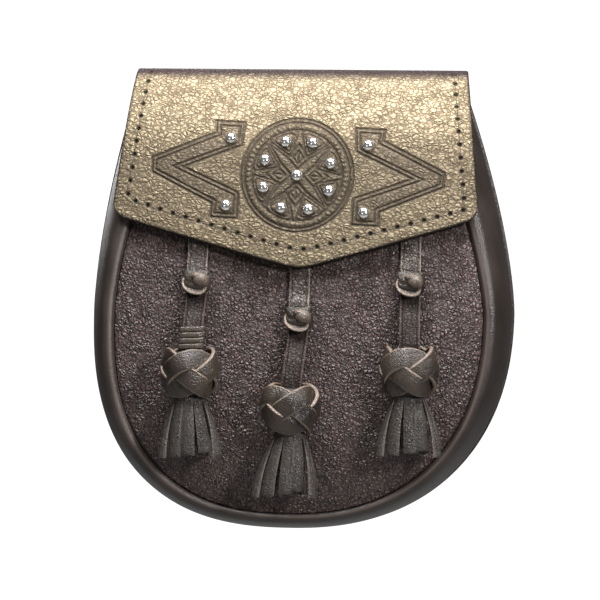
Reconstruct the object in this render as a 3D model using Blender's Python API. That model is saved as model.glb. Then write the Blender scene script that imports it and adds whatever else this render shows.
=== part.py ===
"""Sporran pouch: a leather pouch worn at the waist, with a folded flap and three tassels.

The pouch hangs upright. The front faces -Y, +Z is up and +X is the viewer's right.
The origin is the middle of the belt loop's passage, behind the back panel.
All lengths are in metres. Depth is measured forward from the back panel's rear face.
"""

import math

import bmesh
import bpy
from mathutils import Vector

# Clearance between pieces that touch on the real pouch
GAP = 0.0003

# Body outline, seen from the front
BODY_WIDTH = 0.1895
BODY_HEIGHT = 0.2063
BACK_TOP_WIDTH = 0.1473
BELT_LINE_DROP = 0.048
WIDEST_DROP = 0.108
SIDE_POWER = 1.54
BOTTOM_POWER = 2.39
TOP_SWAY = -0.0022
BOTTOM_SWAY = -0.0058
SWAY_POWER = 1.5

# Front panel outline, its seat in the gusset, and the leather of the body
PANEL_WIDTH = 0.1612
PANEL_TOP_WIDTH = 0.126
PANEL_BOTTOM_LIFT = 0.0113
MOUTH_DROP = 0.036
WALL = 0.0020
BACK_WALL = 0.0024
BACK_LIP = 0.0012
GUSSET_TOP_DROP = 0.021

# Body depth, from the back panel's rear face to the groove round the front panel
MOUTH_DEPTH = 0.022
GREATEST_DEPTH = 0.036
BOTTOM_DEPTH = 0.033
DEEPEST_SHARE = 0.68
PANEL_BULGE = 0.0048
RIDGE_RISE = 0.0012

# Flap
FLAP_WALL = 0.0030
FLAP_TOP_WIDTH = 0.1470
FLAP_CORNER_WIDTH = 0.1610
FLAP_CORNER_DROP = 0.0645
FLAP_TIP_DROP = 0.0864
FLAP_CORNER_RADIUS = 0.0065
FLAP_TIP_SOFTNESS = 0.05
FLAP_TOP_SHIFT = -0.0010
FLAP_CORNER_SHIFT = -0.0022
FLAP_TIP_SHIFT = 0.0030
FLAP_TAIL = 0.014
FLAP_CLEARANCE = 0.0009
FOLD_RADIUS = 0.008
FOLD_DEPTH = 0.008

# Emblem on the flap: a round medallion between two chevrons, set with domed studs
EMBLEM_X = -0.0010
EMBLEM_DROP = 0.0466
EMBLEM_TURN = math.radians(2.5)
STUD_RADIUS = 0.0026
STUD_HEIGHT = 0.0020
STUD_RING_RADIUS = 0.0155
RING_STUDS = 8
CHEVRON_STUD_X = 0.0300
CHEVRON_STUD_Z = 0.0146

# Straps, slides, woven knots and tassels
STRAP_WIDTH = 0.0088
STRAP_WALL = 0.0020
STRAP_SPREAD = 0.0465
STRAP_TOP_DROP = 0.064
SLIDE_DROP = 0.0921
SLIDE_WIDTH = 0.0127
SLIDE_HEIGHT = 0.0110
SLIDE_DEPTH = 0.0080
SLIDE_FORWARD = 0.0010
SLIDE_CLEARANCE = 0.0008
KNOT_DROP = 0.1292
KNOT_WIDTH = 0.0245
KNOT_HEIGHT = 0.0200
KNOT_DEPTH = 0.0205
KNOT_RELIEF = 0.0009
MIDDLE_EXTRA_DROP = 0.0156
TASSEL_NECK_RADIUS = 0.0052
TASSEL_LENGTH = 0.0370
TASSEL_TOP_WIDTH = 0.0158
TASSEL_TOP_DEPTH = 0.0118
TASSEL_END_WIDTH = 0.0240
TASSEL_END_DEPTH = 0.0165
TASSEL_STRIPS = 10
STRIP_WALL = 0.0015
STRIP_FILL = 0.84

# Belt loop and the clasp under the flap
LOOP_WIDTH = 0.070
LOOP_PASSAGE_HEIGHT = 0.034
LOOP_PASSAGE_DEPTH = 0.006
LOOP_WALL = 0.0020
LOOP_FLANGE = 0.0085
LOOP_BEND = 0.0022
CLASP_RADIUS = 0.0050
CLASP_DROP = 0.0560

# Levels and faces that follow from the sizes above
TOP_Z = BELT_LINE_DROP
BOTTOM_Z = TOP_Z - BODY_HEIGHT
WIDEST_Z = TOP_Z - WIDEST_DROP
BACK_TOP_Z = TOP_Z - FOLD_RADIUS
MOUTH_Z = TOP_Z - MOUTH_DROP
PANEL_BOTTOM_Z = BOTTOM_Z + PANEL_BOTTOM_LIFT
REAR_Y = -LOOP_PASSAGE_DEPTH / 2

# Gusset section from the groove at the front panel to its foot on the back panel:
# share of the way out, share of the body's depth, share of the ridge's rise
GUSSET_SECTION = [
    {"out": 0.00, "depth": 1.00, "rise": -0.30},
    {"out": 0.10, "depth": 1.00, "rise": 0.80},
    {"out": 0.26, "depth": 1.00, "rise": 1.00},
    {"out": 0.45, "depth": 0.97, "rise": 0.60},
    {"out": 0.66, "depth": 0.84, "rise": 0.00},
    {"out": 0.84, "depth": 0.60, "rise": 0.00},
    {"out": 0.97, "depth": 0.30, "rise": 0.00},
    {"out": 1.00, "depth": 0.00, "rise": 0.00},
]

# Hanging straps: sideways places are shares of STRAP_SPREAD, and extra drops
# are shares of MIDDLE_EXTRA_DROP
HANGINGS = [
    {"side": "left", "slide": -0.940, "knot": -0.970, "tip": -0.960,
     "slide_lower": 0.03, "knot_lower": 0.14, "length": 1.00, "turn": 0.3},
    {"side": "middle", "slide": 0.020, "knot": -0.040, "tip": -0.085,
     "slide_lower": 1.00, "knot_lower": 1.10, "length": 1.03, "turn": 0.9},
    {"side": "right", "slide": 1.050, "knot": 1.056, "tip": 1.062,
     "slide_lower": 0.00, "knot_lower": 0.00, "length": 0.99, "turn": 0.0},
]

# Colours as linear red, green, blue
DARK_LEATHER = (0.035, 0.022, 0.020)
SMOOTH_LEATHER = (0.040, 0.028, 0.022)
BRONZE_LEATHER = (0.200, 0.150, 0.075)
STRAP_LEATHER = (0.060, 0.046, 0.036)
CHROME = (0.80, 0.80, 0.80)
BRASS = (0.55, 0.40, 0.18)


for old_object in list(bpy.data.objects):
    bpy.data.objects.remove(old_object, do_unlink=True)


# Shared helpers

def make_material(name, colour, roughness, metallic=0.0):
    material = bpy.data.materials.new(name)
    material.use_nodes = True
    shader = material.node_tree.nodes["Principled BSDF"]
    shader.inputs["Base Color"].default_value = (*colour, 1.0)
    shader.inputs["Roughness"].default_value = roughness
    shader.inputs["Metallic"].default_value = metallic
    return material


def add_object(name, mesh_builder, colour, roughness, metallic=0.0, smooth_angle=35):
    """Turn a bmesh into a named object with its own material."""
    bmesh.ops.recalc_face_normals(mesh_builder, faces=mesh_builder.faces)
    mesh = bpy.data.meshes.new(name)
    mesh_builder.to_mesh(mesh)
    mesh_builder.free()
    mesh.shade_smooth()
    mesh.set_sharp_from_angle(angle=math.radians(smooth_angle))
    mesh.materials.append(make_material(name, colour, roughness, metallic))
    piece = bpy.data.objects.new(name, mesh)
    bpy.context.collection.objects.link(piece)
    return piece


def sheet_mesh(point_at, columns, rows):
    """Open grid whose corner (column, row) lies at point_at(column, row)."""
    builder = bmesh.new()
    grid = [[builder.verts.new(point_at(i, j)) for i in range(columns)] for j in range(rows)]
    for j in range(rows - 1):
        for i in range(columns - 1):
            builder.faces.new((grid[j][i], grid[j][i + 1], grid[j + 1][i + 1], grid[j + 1][i]))
    return builder


def add_leather_sheet(name, point_at, columns, rows, wall, outward, colour, roughness):
    """Grid surface thickened inwards, away from the direction called outward."""
    builder = sheet_mesh(point_at, columns, rows)
    builder.normal_update()
    middle_face = list(builder.faces)[len(builder.faces) // 2]
    if middle_face.normal.dot(outward) < 0:
        bmesh.ops.reverse_faces(builder, faces=builder.faces)
    mesh = bpy.data.meshes.new(name)
    builder.to_mesh(mesh)
    builder.free()
    mesh.shade_smooth()
    mesh.materials.append(make_material(name, colour, roughness))
    piece = bpy.data.objects.new(name, mesh)
    bpy.context.collection.objects.link(piece)
    thicken = piece.modifiers.new("leather", "SOLIDIFY")
    thicken.thickness = wall
    thicken.offset = -1.0
    thicken.use_even_offset = True
    return piece


def loft(builder, sections, closed_path=False):
    """Join closed sections with equal numbers of points, and cap the two ends."""
    loops = [[builder.verts.new(point) for point in section] for section in sections]
    pairs = list(zip(loops, loops[1:]))
    if closed_path:
        pairs.append((loops[-1], loops[0]))
    for first, second in pairs:
        for k in range(len(first)):
            after = (k + 1) % len(first)
            builder.faces.new((first[k], first[after], second[after], second[k]))
    if not closed_path:
        builder.faces.new(loops[0])
        builder.faces.new(loops[-1])
    return loops


def ease(share):
    """Smooth step from 0 to 1."""
    share = min(max(share, 0.0), 1.0)
    return share * share * (3 - 2 * share)


def at_depth(x, z, depth):
    return Vector((x, REAR_Y - depth, z))


# Outline and depth of the body, which every leather piece follows

def rim(width, top_width, top_z, bottom_z):
    return {"half": width / 2, "top_half": top_width / 2, "top_z": top_z, "bottom_z": bottom_z}


BACK_RIM = rim(BODY_WIDTH, BACK_TOP_WIDTH, BACK_TOP_Z, BOTTOM_Z)
FOOT_RIM = rim(BODY_WIDTH - 2 * BACK_LIP, BACK_TOP_WIDTH - 2 * BACK_LIP, BACK_TOP_Z, BOTTOM_Z + BACK_LIP)
GROOVE_RIM = rim(PANEL_WIDTH, PANEL_TOP_WIDTH, MOUTH_Z, PANEL_BOTTOM_Z)
PANEL_RIM = rim(PANEL_WIDTH - 2 * GAP, PANEL_TOP_WIDTH - 2 * GAP, MOUTH_Z, PANEL_BOTTOM_Z + GAP)


def sway(z):
    """Sideways drift of the body's centre line: both its ends hang a little to the left."""
    rise = max((z - WIDEST_Z) / (BACK_TOP_Z - WIDEST_Z), 0.0)
    drop = max((WIDEST_Z - z) / (WIDEST_Z - BOTTOM_Z), 0.0)
    return TOP_SWAY * rise ** SWAY_POWER + BOTTOM_SWAY * drop ** SWAY_POWER


def half_width(outline, z):
    if z >= WIDEST_Z:
        rise = (z - WIDEST_Z) / (outline["top_z"] - WIDEST_Z)
        return outline["half"] - (outline["half"] - outline["top_half"]) * rise ** SIDE_POWER
    drop = min((WIDEST_Z - z) / (WIDEST_Z - outline["bottom_z"]), 1.0)
    return outline["half"] * (1 - drop ** BOTTOM_POWER) ** (1 / BOTTOM_POWER)


def rim_point(outline, way, end_z):
    """Point (x, z) on an outline; way runs from -1 at the left end, 0 at the bottom, to 1."""
    along = abs(way)
    round_share = 0.6
    if along > round_share:
        z = WIDEST_Z + (end_z - WIDEST_Z) * (along - round_share) / (1 - round_share)
        x = half_width(outline, z)
    else:
        angle = along / round_share * math.pi / 2
        x = outline["half"] * math.sin(angle) ** (2 / BOTTOM_POWER)
        z = WIDEST_Z - (WIDEST_Z - outline["bottom_z"]) * math.cos(angle) ** (2 / BOTTOM_POWER)
    return sway(z) + math.copysign(x, way), z


def body_depth(z):
    """Depth of the groove round the front panel at height z."""
    share = (MOUTH_Z - z) / (MOUTH_Z - PANEL_BOTTOM_Z)
    if share < DEEPEST_SHARE:
        shallow = (1 - share / DEEPEST_SHARE) ** 2
        return GREATEST_DEPTH - (GREATEST_DEPTH - MOUTH_DEPTH) * shallow
    shallow = ((share - DEEPEST_SHARE) / (1 - DEEPEST_SHARE)) ** 2
    return GREATEST_DEPTH - (GREATEST_DEPTH - BOTTOM_DEPTH) * shallow


def panel_depth(x, z):
    """Depth of the front panel's pillowed outer face."""
    side = min(abs(x - sway(z)) / max(half_width(GROOVE_RIM, z), GAP), 1.0)
    low = max((WIDEST_Z - z) / (WIDEST_Z - PANEL_BOTTOM_Z), 0.0)
    return body_depth(z) + PANEL_BULGE * (1 - side ** 4) * (1 - min(low, 1.0) ** 4)


# Back panel: one flat piece of leather, cut a little larger than the gusset's foot

def add_back_panel():
    steps = 32
    outline = [rim_point(BACK_RIM, -1 + 2 * k / steps, BACK_TOP_Z) for k in range(steps + 1)]
    builder = bmesh.new()
    rear = [at_depth(x, z, 0.0) for x, z in outline]
    front = [at_depth(x, z, BACK_WALL) for x, z in outline]
    loft(builder, [rear, front])
    return add_object("back_panel", builder, SMOOTH_LEATHER, 0.5)


# Gusset: one bent strip round both sides and the bottom, with a rounded front shoulder

def add_gusset():
    steps = 44
    foot_depth = BACK_WALL + GAP

    def gusset_point(column, row):
        way = -1 + 2 * row / steps
        front_x, front_z = rim_point(GROOVE_RIM, way, MOUTH_Z)
        foot_x, foot_z = rim_point(FOOT_RIM, way, TOP_Z - GUSSET_TOP_DROP)
        station = GUSSET_SECTION[column]
        out = station["out"]
        x = front_x + (foot_x - front_x) * out
        z = front_z + (foot_z - front_z) * out
        reach = body_depth(z) - foot_depth
        return at_depth(x, z, foot_depth + reach * station["depth"] + RIDGE_RISE * station["rise"])

    return add_leather_sheet("gusset", gusset_point, len(GUSSET_SECTION), steps + 1, WALL,
                             Vector((0, -1, 0)), SMOOTH_LEATHER, 0.4)


# Front panel: grained leather, pillowed forward and set inside the gusset's front edge

def add_front_panel():
    columns = 19
    rows = 20
    lowest_way = 0.03

    def panel_point(column, row):
        way = 1 - (1 - lowest_way) * row / (rows - 1)
        edge, z = rim_point(PANEL_RIM, way, MOUTH_Z)
        across = -1 + 2 * column / (columns - 1)
        crowded = 0.4 * math.sin(across * math.pi / 2) + 0.6 * across
        x = sway(z) + (edge - sway(z)) * crowded
        return at_depth(x, z, panel_depth(x, z))

    return add_leather_sheet("front_panel", panel_point, columns, rows, WALL,
                             Vector((0, -1, 0)), DARK_LEATHER, 0.55)


# Flap: one piece that starts behind the back panel, folds over the top and hangs in front

FLAP_HALF = FLAP_CORNER_WIDTH / 2
FLAP_CORNER_Z = TOP_Z - FLAP_CORNER_DROP
FLAP_TIP_Z = TOP_Z - FLAP_TIP_DROP


def flap_centre_x(z):
    down = min((TOP_Z - z) / FLAP_CORNER_DROP, 1.0)
    return FLAP_TOP_SHIFT + (FLAP_CORNER_SHIFT - FLAP_TOP_SHIFT) * down


def flap_x(across, z):
    """Place across the flap, from -1 at its left edge to 1 at its right edge."""
    down = min((TOP_Z - z) / FLAP_CORNER_DROP, 1.0)
    half = (FLAP_TOP_WIDTH + (FLAP_CORNER_WIDTH - FLAP_TOP_WIDTH) * down) / 2
    lean = FLAP_TIP_SHIFT * (1 - abs(across)) * ease((TOP_Z - z) / FLAP_TIP_DROP)
    return flap_centre_x(z) + across * half + lean


def flap_lower_z(across):
    """Lower edge: two slopes that meet in a rounded tip, with rounded outer corners."""
    softness = FLAP_TIP_SOFTNESS
    slope = (math.hypot(across, softness) - softness) / (math.hypot(1, softness) - softness)
    z = FLAP_TIP_Z + (FLAP_CORNER_Z - FLAP_TIP_Z) * slope
    into_corner = (abs(across) * FLAP_HALF - (FLAP_HALF - FLAP_CORNER_RADIUS)) / FLAP_CORNER_RADIUS
    if into_corner > 0:
        z += FLAP_CORNER_RADIUS * (1 - math.sqrt(max(1 - into_corner ** 2, 0.0)))
    return z


def flap_low_depth(x, z):
    """Outer face of the flap where it lies over the straps and the gusset's ridge."""
    side = min(abs(x - flap_centre_x(z)) / FLAP_HALF, 1.0)
    strap_stack = GAP + STRAP_WALL
    at_ridge = body_depth(z) + RIDGE_RISE + FLAP_CLEARANCE + FLAP_WALL
    return at_ridge + (PANEL_BULGE + strap_stack - RIDGE_RISE) * (1 - side ** 4)


def flap_front_depth(x, z):
    """Outer face of the flap from its fold at the top down to its lower edge."""
    if z <= MOUTH_Z:
        return flap_low_depth(x, z)
    share = min((z - MOUTH_Z) / (TOP_Z - MOUTH_Z), 1.0)
    fall = flap_low_depth(x, TOP_Z) - FOLD_DEPTH
    return flap_low_depth(x, z) - fall * (1 - math.sqrt(1 - share * share))


def flap_columns():
    inner = 1 - FLAP_CORNER_RADIUS / FLAP_HALF
    steps = 12
    corner_steps = 4
    columns = [-inner + 2 * inner * k / steps for k in range(steps + 1)]
    corner = [1 - (1 - inner) * (1 - math.sin(math.pi / 2 * k / corner_steps))
              for k in range(1, corner_steps + 1)]
    return [-value for value in reversed(corner)] + columns + corner


def add_flap():
    columns = flap_columns()
    tail_z = BACK_TOP_Z - FLAP_TAIL
    tail_depth = -(GAP + FLAP_WALL)
    rear_steps = 4
    fold_steps = 5
    front_steps = 7
    rows = 2 + rear_steps + fold_steps + front_steps

    def flap_point(column, row):
        across = columns[column]
        if row < 2:
            z = tail_z + (BACK_TOP_Z - tail_z) * row
            depth = tail_depth
        elif row < 2 + rear_steps:
            angle = math.pi / 2 * (row - 1) / rear_steps
            z = BACK_TOP_Z + FOLD_RADIUS * math.sin(angle)
            depth = FOLD_DEPTH - (FOLD_DEPTH - tail_depth) * math.cos(angle)
        elif row < 2 + rear_steps + fold_steps:
            angle = math.pi / 2 * (1 - (row - 1 - rear_steps) / fold_steps)
            z = MOUTH_Z + (TOP_Z - MOUTH_Z) * math.sin(angle)
            depth = flap_front_depth(flap_x(across, z), z)
        else:
            share = (row - 1 - rear_steps - fold_steps) / front_steps
            z = MOUTH_Z + (flap_lower_z(across) - MOUTH_Z) * share
            depth = flap_front_depth(flap_x(across, z), z)
        return at_depth(flap_x(across, z), z, depth)

    return add_leather_sheet("flap", flap_point, len(columns), rows, FLAP_WALL,
                             Vector((0, -0.5, 1)), BRONZE_LEATHER, 0.5)


# Studs: polished domes on the flap's face, one in the middle, a ring and four on the chevrons

def flap_normal(x, z):
    step = 0.001
    across = Vector((2 * step, flap_front_depth(x - step, z) - flap_front_depth(x + step, z), 0))
    upward = Vector((0, flap_front_depth(x, z - step) - flap_front_depth(x, z + step), 2 * step))
    return across.cross(upward).normalized()


def stud_places():
    places = [(0.0, 0.0)]
    for k in range(RING_STUDS):
        angle = math.radians(90) + 2 * math.pi * (k + 0.5) / RING_STUDS
        places.append((STUD_RING_RADIUS * math.cos(angle), STUD_RING_RADIUS * math.sin(angle)))
    for side in (-1, 1):
        for level in (1, -1):
            places.append((side * CHEVRON_STUD_X, level * CHEVRON_STUD_Z))
    return places


def add_studs():
    sides = 12
    dome_rows = 3
    for number, (local_x, local_z) in enumerate(stud_places(), start=1):
        x = EMBLEM_X + local_x * math.cos(EMBLEM_TURN) + local_z * math.sin(EMBLEM_TURN)
        z = TOP_Z - EMBLEM_DROP - local_x * math.sin(EMBLEM_TURN) + local_z * math.cos(EMBLEM_TURN)
        normal = flap_normal(x, z)
        builder = bmesh.new()
        sections = []
        for row in range(dome_rows + 1):
            angle = math.pi / 2 * row / (dome_rows + 0.4)
            radius = STUD_RADIUS * math.cos(angle)
            height = STUD_HEIGHT * math.sin(angle)
            sections.append([Vector((radius * math.cos(2 * math.pi * k / sides),
                                     radius * math.sin(2 * math.pi * k / sides), height))
                             for k in range(sides)])
        loft(builder, sections)
        stud = add_object(f"stud_{number:02d}", builder, CHROME, 0.12, 1.0)
        stud.location = at_depth(x, z, flap_front_depth(x, z)) + normal * GAP
        stud.rotation_mode = "QUATERNION"
        stud.rotation_quaternion = normal.to_track_quat("Z", "Y")


# Hanging straps: each has a strap, a slide on it, a woven knot and a tassel

SLIDE_REAR = SLIDE_DEPTH / 2 - SLIDE_FORWARD
KNOT_HOLE_RADIUS = TASSEL_NECK_RADIUS + GAP


def hanging_levels(row):
    slide_z = TOP_Z - SLIDE_DROP - row["slide_lower"] * MIDDLE_EXTRA_DROP
    knot_z = TOP_Z - KNOT_DROP - row["knot_lower"] * MIDDLE_EXTRA_DROP
    return slide_z, knot_z


def hanging_x(row, z):
    slide_z, knot_z = hanging_levels(row)
    share = ease((slide_z - z) / (slide_z - knot_z))
    return STRAP_SPREAD * (row["slide"] + (row["knot"] - row["slide"]) * share)


def knot_axis_depth(row):
    knot_z = hanging_levels(row)[1]
    return panel_depth(hanging_x(row, knot_z), knot_z) + KNOT_DEPTH / 2 + KNOT_RELIEF + GAP


def strap_depth(row, z):
    """Depth of the strap's middle, which leaves the panel to pass through slide and knot."""
    slide_z, knot_z = hanging_levels(row)
    on_panel = GAP + STRAP_WALL / 2
    at_slide = GAP + SLIDE_REAR
    to_slide = ease((slide_z + SLIDE_HEIGHT - z) / (SLIDE_HEIGHT / 2))
    stand = on_panel + (at_slide - on_panel) * to_slide
    depth = panel_depth(hanging_x(row, z), z) + stand
    leave_z = slide_z - SLIDE_HEIGHT / 2
    arrive_z = knot_z + KNOT_HEIGHT / 2
    return depth + (knot_axis_depth(row) - depth) * ease((leave_z - z) / (leave_z - arrive_z))


def add_strap(row):
    slide_z, knot_z = hanging_levels(row)
    top_z = TOP_Z - STRAP_TOP_DROP
    if row["side"] == "middle":
        top_z -= MIDDLE_EXTRA_DROP
    end_z = knot_z + KNOT_HEIGHT / 4 + GAP
    steps = 16
    sections = []
    for k in range(steps + 1):
        z = top_z + (end_z - top_z) * k / steps
        x = hanging_x(row, z)
        middle = strap_depth(row, z)
        sections.append([at_depth(x + side * STRAP_WIDTH / 2, z, middle + face * STRAP_WALL / 2)
                         for side, face in ((-1, -1), (1, -1), (1, 1), (-1, 1))])
    builder = bmesh.new()
    loft(builder, sections)
    return add_object(f"strap_{row['side']}", builder, STRAP_LEATHER, 0.5)


def add_slide(row):
    """Small leather knot round the strap: a rounded ring with a flat hole."""
    slide_z = hanging_levels(row)[0]
    sides = 16
    hole_half_width = STRAP_WIDTH / 2 + SLIDE_CLEARANCE
    hole_half_depth = STRAP_WALL / 2 + SLIDE_CLEARANCE
    levels = [-0.86, -0.5, 0.0, 0.5, 0.86]
    sections = []
    for k in range(sides):
        angle = 2 * math.pi * k / sides
        cosine = math.cos(angle)
        sine = math.sin(angle)
        hole_x = hole_half_width * math.copysign(abs(cosine) ** 0.4, cosine)
        hole_depth = hole_half_depth * math.copysign(abs(sine) ** 0.4, sine)
        section = []
        for level in levels:
            swell = math.sqrt(1 - level * level)
            x = hole_x + (SLIDE_WIDTH / 2 * cosine - hole_x) * swell
            outer_depth = SLIDE_FORWARD + SLIDE_DEPTH / 2 * sine
            depth = hole_depth + (outer_depth - hole_depth) * swell
            section.append((x, level * SLIDE_HEIGHT / 2, depth))
        for level in (0.86, 0.0, -0.86):
            section.append((hole_x, level * SLIDE_HEIGHT / 2, hole_depth))
        sections.append([at_depth(hanging_x(row, slide_z + rise) + x, slide_z + rise,
                                  strap_depth(row, slide_z + rise) + depth)
                         for x, rise, depth in section])
    builder = bmesh.new()
    loft(builder, sections, closed_path=True)
    return add_object(f"slide_{row['side']}", builder, STRAP_LEATHER, 0.45)


def weave_height(angle, level):
    """Relief of a band plaited three times round in four bights, from -1 to 1."""
    heights = []
    for lap in range(3):
        along = (angle + 2 * math.pi * lap) / 3
        middle = 0.62 * math.cos(4 * along)
        off_middle = (level - middle) / 0.42
        heights.append(math.sin(8 * along) - off_middle * off_middle)
    return max(max(heights), -1.0)


def add_knot(row):
    """Woven ball: one thick ring round the tassel's neck, with the plait as relief."""
    knot_z = hanging_levels(row)[1]
    knot_x = hanging_x(row, knot_z)
    axis_depth = knot_axis_depth(row)
    sides = 32
    outer_rows = 8
    widest_angle = math.radians(72)
    sections = []
    for k in range(sides):
        angle = 2 * math.pi * k / sides
        cosine = math.cos(angle)
        sine = math.sin(angle)
        section = []
        for j in range(outer_rows):
            tilt = -widest_angle + 2 * widest_angle * j / (outer_rows - 1)
            swell = math.cos(tilt) ** 0.8
            level = math.sin(tilt)
            relief = KNOT_RELIEF * weave_height(angle + row["turn"], level) * math.cos(tilt)
            x = (KNOT_HOLE_RADIUS + (KNOT_WIDTH / 2 - KNOT_HOLE_RADIUS) * swell + relief) * cosine
            depth = (KNOT_HOLE_RADIUS + (KNOT_DEPTH / 2 - KNOT_HOLE_RADIUS) * swell + relief) * sine
            section.append(at_depth(knot_x + x, knot_z + level * KNOT_HEIGHT / 2, axis_depth + depth))
        for side in (1, -1):
            rise = side * math.sin(widest_angle) * KNOT_HEIGHT / 2
            section.append(at_depth(knot_x + KNOT_HOLE_RADIUS * cosine, knot_z + rise,
                                    axis_depth + KNOT_HOLE_RADIUS * sine))
        sections.append(section)
    builder = bmesh.new()
    loft(builder, sections, closed_path=True)
    return add_object(f"knot_{row['side']}", builder, STRAP_LEATHER, 0.4)


def add_tassel(row):
    """Neck inside the knot, a flared collar under it, and flat strips cut from the collar."""
    knot_z = hanging_levels(row)[1]
    knot_x = hanging_x(row, knot_z)
    axis_depth = knot_axis_depth(row)
    neck_top_z = knot_z + KNOT_HEIGHT / 4
    neck_end_z = knot_z - KNOT_HEIGHT / 2 - GAP
    collar_z = neck_end_z - STRIP_WALL
    tip_z = knot_z - TASSEL_LENGTH * row["length"]
    tip_x = STRAP_SPREAD * row["tip"]
    strip_levels = [0.0, 0.3, 0.65, 1.0]
    sector = 2 * math.pi / TASSEL_STRIPS

    def strip_corner(strip, edge, inner, share):
        angle = sector * (strip + 0.5 * edge * STRIP_FILL)
        spread = share ** 1.3
        long_half = (TASSEL_TOP_WIDTH + (TASSEL_END_WIDTH - TASSEL_TOP_WIDTH) * spread) / 2
        deep_half = (TASSEL_TOP_DEPTH + (TASSEL_END_DEPTH - TASSEL_TOP_DEPTH) * spread) / 2
        inset = STRIP_WALL if inner else 0.0
        x = knot_x + (tip_x - knot_x) * share + (long_half - inset) * math.cos(angle)
        depth = axis_depth + (deep_half - inset) * math.sin(angle)
        shorter = 0.04 * ((strip * 3) % 4) * (collar_z - tip_z)
        z = collar_z + (tip_z + shorter - collar_z) * share
        return at_depth(x, z, depth)

    builder = bmesh.new()
    neck_rings = []
    for z in (neck_top_z, neck_end_z):
        ring = []
        for strip in range(TASSEL_STRIPS):
            for edge in (-1, 1):
                angle = sector * (strip + 0.5 * edge * STRIP_FILL)
                ring.append(builder.verts.new(at_depth(knot_x + TASSEL_NECK_RADIUS * math.cos(angle), z,
                                                       axis_depth + TASSEL_NECK_RADIUS * math.sin(angle))))
        neck_rings.append(ring)
    strips = []
    for strip in range(TASSEL_STRIPS):
        loops = []
        for share in strip_levels:
            corners = ((-1, False), (1, False), (1, True), (-1, True))
            loops.append([builder.verts.new(strip_corner(strip, edge, inner, share))
                          for edge, inner in corners])
        strips.append(loops)
        for first, second in zip(loops, loops[1:]):
            for k in range(4):
                after = (k + 1) % 4
                builder.faces.new((first[k], first[after], second[after], second[k]))
        builder.faces.new(loops[-1])
    collar_outer = [corner for loops in strips for corner in loops[0][:2]]
    collar_inner = [corner for loops in strips for corner in (loops[0][3], loops[0][2])]
    count = 2 * TASSEL_STRIPS
    for k in range(count):
        after = (k + 1) % count
        for upper, lower in ((neck_rings[0], neck_rings[1]), (neck_rings[1], collar_outer)):
            builder.faces.new((upper[k], upper[after], lower[after], lower[k]))
        if k % 2 == 1:
            builder.faces.new((collar_outer[k], collar_outer[after], collar_inner[after], collar_inner[k]))
    builder.faces.new(neck_rings[0])
    builder.faces.new(collar_inner)
    return add_object(f"tassel_{row['side']}", builder, STRAP_LEATHER, 0.5)


# Belt loop: a wide band on the back panel, with a flange above and below the belt's passage

def add_belt_loop():
    rear = LOOP_PASSAGE_DEPTH / 2
    seat = REAR_Y + GAP
    half = LOOP_PASSAGE_HEIGHT / 2
    bend = LOOP_BEND
    upper_inner = [
        (half + LOOP_FLANGE, seat),
        (half, seat),
        (half, rear - bend),
        (half - bend, rear),
    ]
    upper_outer = [
        (half + LOOP_WALL - bend, rear + LOOP_WALL),
        (half + LOOP_WALL, rear + LOOP_WALL - bend),
        (half + LOOP_WALL, seat + LOOP_WALL),
        (half + LOOP_FLANGE, seat + LOOP_WALL),
    ]
    profile = upper_inner + [(-z, y) for z, y in reversed(upper_inner)]
    profile += [(-z, y) for z, y in reversed(upper_outer)] + upper_outer
    builder = bmesh.new()
    loft(builder, [[Vector((side * LOOP_WIDTH / 2, y, z)) for z, y in profile] for side in (-1, 1)])
    return add_object("belt_loop", builder, SMOOTH_LEATHER, 0.5)


# Clasp: one plain round press stud between the flap and the front panel

def add_clasp():
    centre_z = TOP_Z - CLASP_DROP
    sides = 16
    rear = []
    front = []
    for k in range(sides):
        angle = 2 * math.pi * k / sides
        x = CLASP_RADIUS * math.cos(angle)
        z = centre_z + CLASP_RADIUS * math.sin(angle)
        flap_inner = flap_front_depth(x, z) + FLAP_WALL / flap_normal(x, z).y
        rear.append(at_depth(x, z, panel_depth(x, z) + GAP))
        front.append(at_depth(x, z, flap_inner - GAP))
    builder = bmesh.new()
    loft(builder, [rear, front])
    return add_object("clasp", builder, BRASS, 0.3, 1.0)


add_back_panel()
add_gusset()
add_front_panel()
add_flap()
add_studs()
for hanging in HANGINGS:
    add_strap(hanging)
    add_slide(hanging)
    add_knot(hanging)
    add_tassel(hanging)
add_belt_loop()
add_clasp()
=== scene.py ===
import math

import bmesh
import bpy
import numpy as np
from mathutils import Matrix, Vector


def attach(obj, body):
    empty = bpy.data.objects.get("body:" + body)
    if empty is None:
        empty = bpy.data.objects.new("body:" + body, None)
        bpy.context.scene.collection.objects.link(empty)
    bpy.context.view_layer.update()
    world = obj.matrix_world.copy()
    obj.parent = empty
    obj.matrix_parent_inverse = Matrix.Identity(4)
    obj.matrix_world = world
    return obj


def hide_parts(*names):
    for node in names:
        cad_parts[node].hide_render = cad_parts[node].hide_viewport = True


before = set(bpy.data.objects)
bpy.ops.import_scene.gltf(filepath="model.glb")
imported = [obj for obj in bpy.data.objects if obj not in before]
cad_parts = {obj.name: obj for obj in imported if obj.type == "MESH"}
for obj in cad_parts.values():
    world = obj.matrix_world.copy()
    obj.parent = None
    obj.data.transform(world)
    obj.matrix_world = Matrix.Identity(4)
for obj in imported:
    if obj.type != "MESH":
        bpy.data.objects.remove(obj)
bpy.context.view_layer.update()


# The view: a long lens a little to the right of the pouch and a little above it,
# rolled slightly, so that the pouch seems to lean to the right at its top.
view_turn = math.radians(4.0)
view_height = math.radians(4.0)
view_roll = math.radians(0.6)
view_target = Vector((-0.0002, -0.023, -0.0538))
view_distance = 1.0
lens_length = 135.8
sensor_width = 36.0

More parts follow.
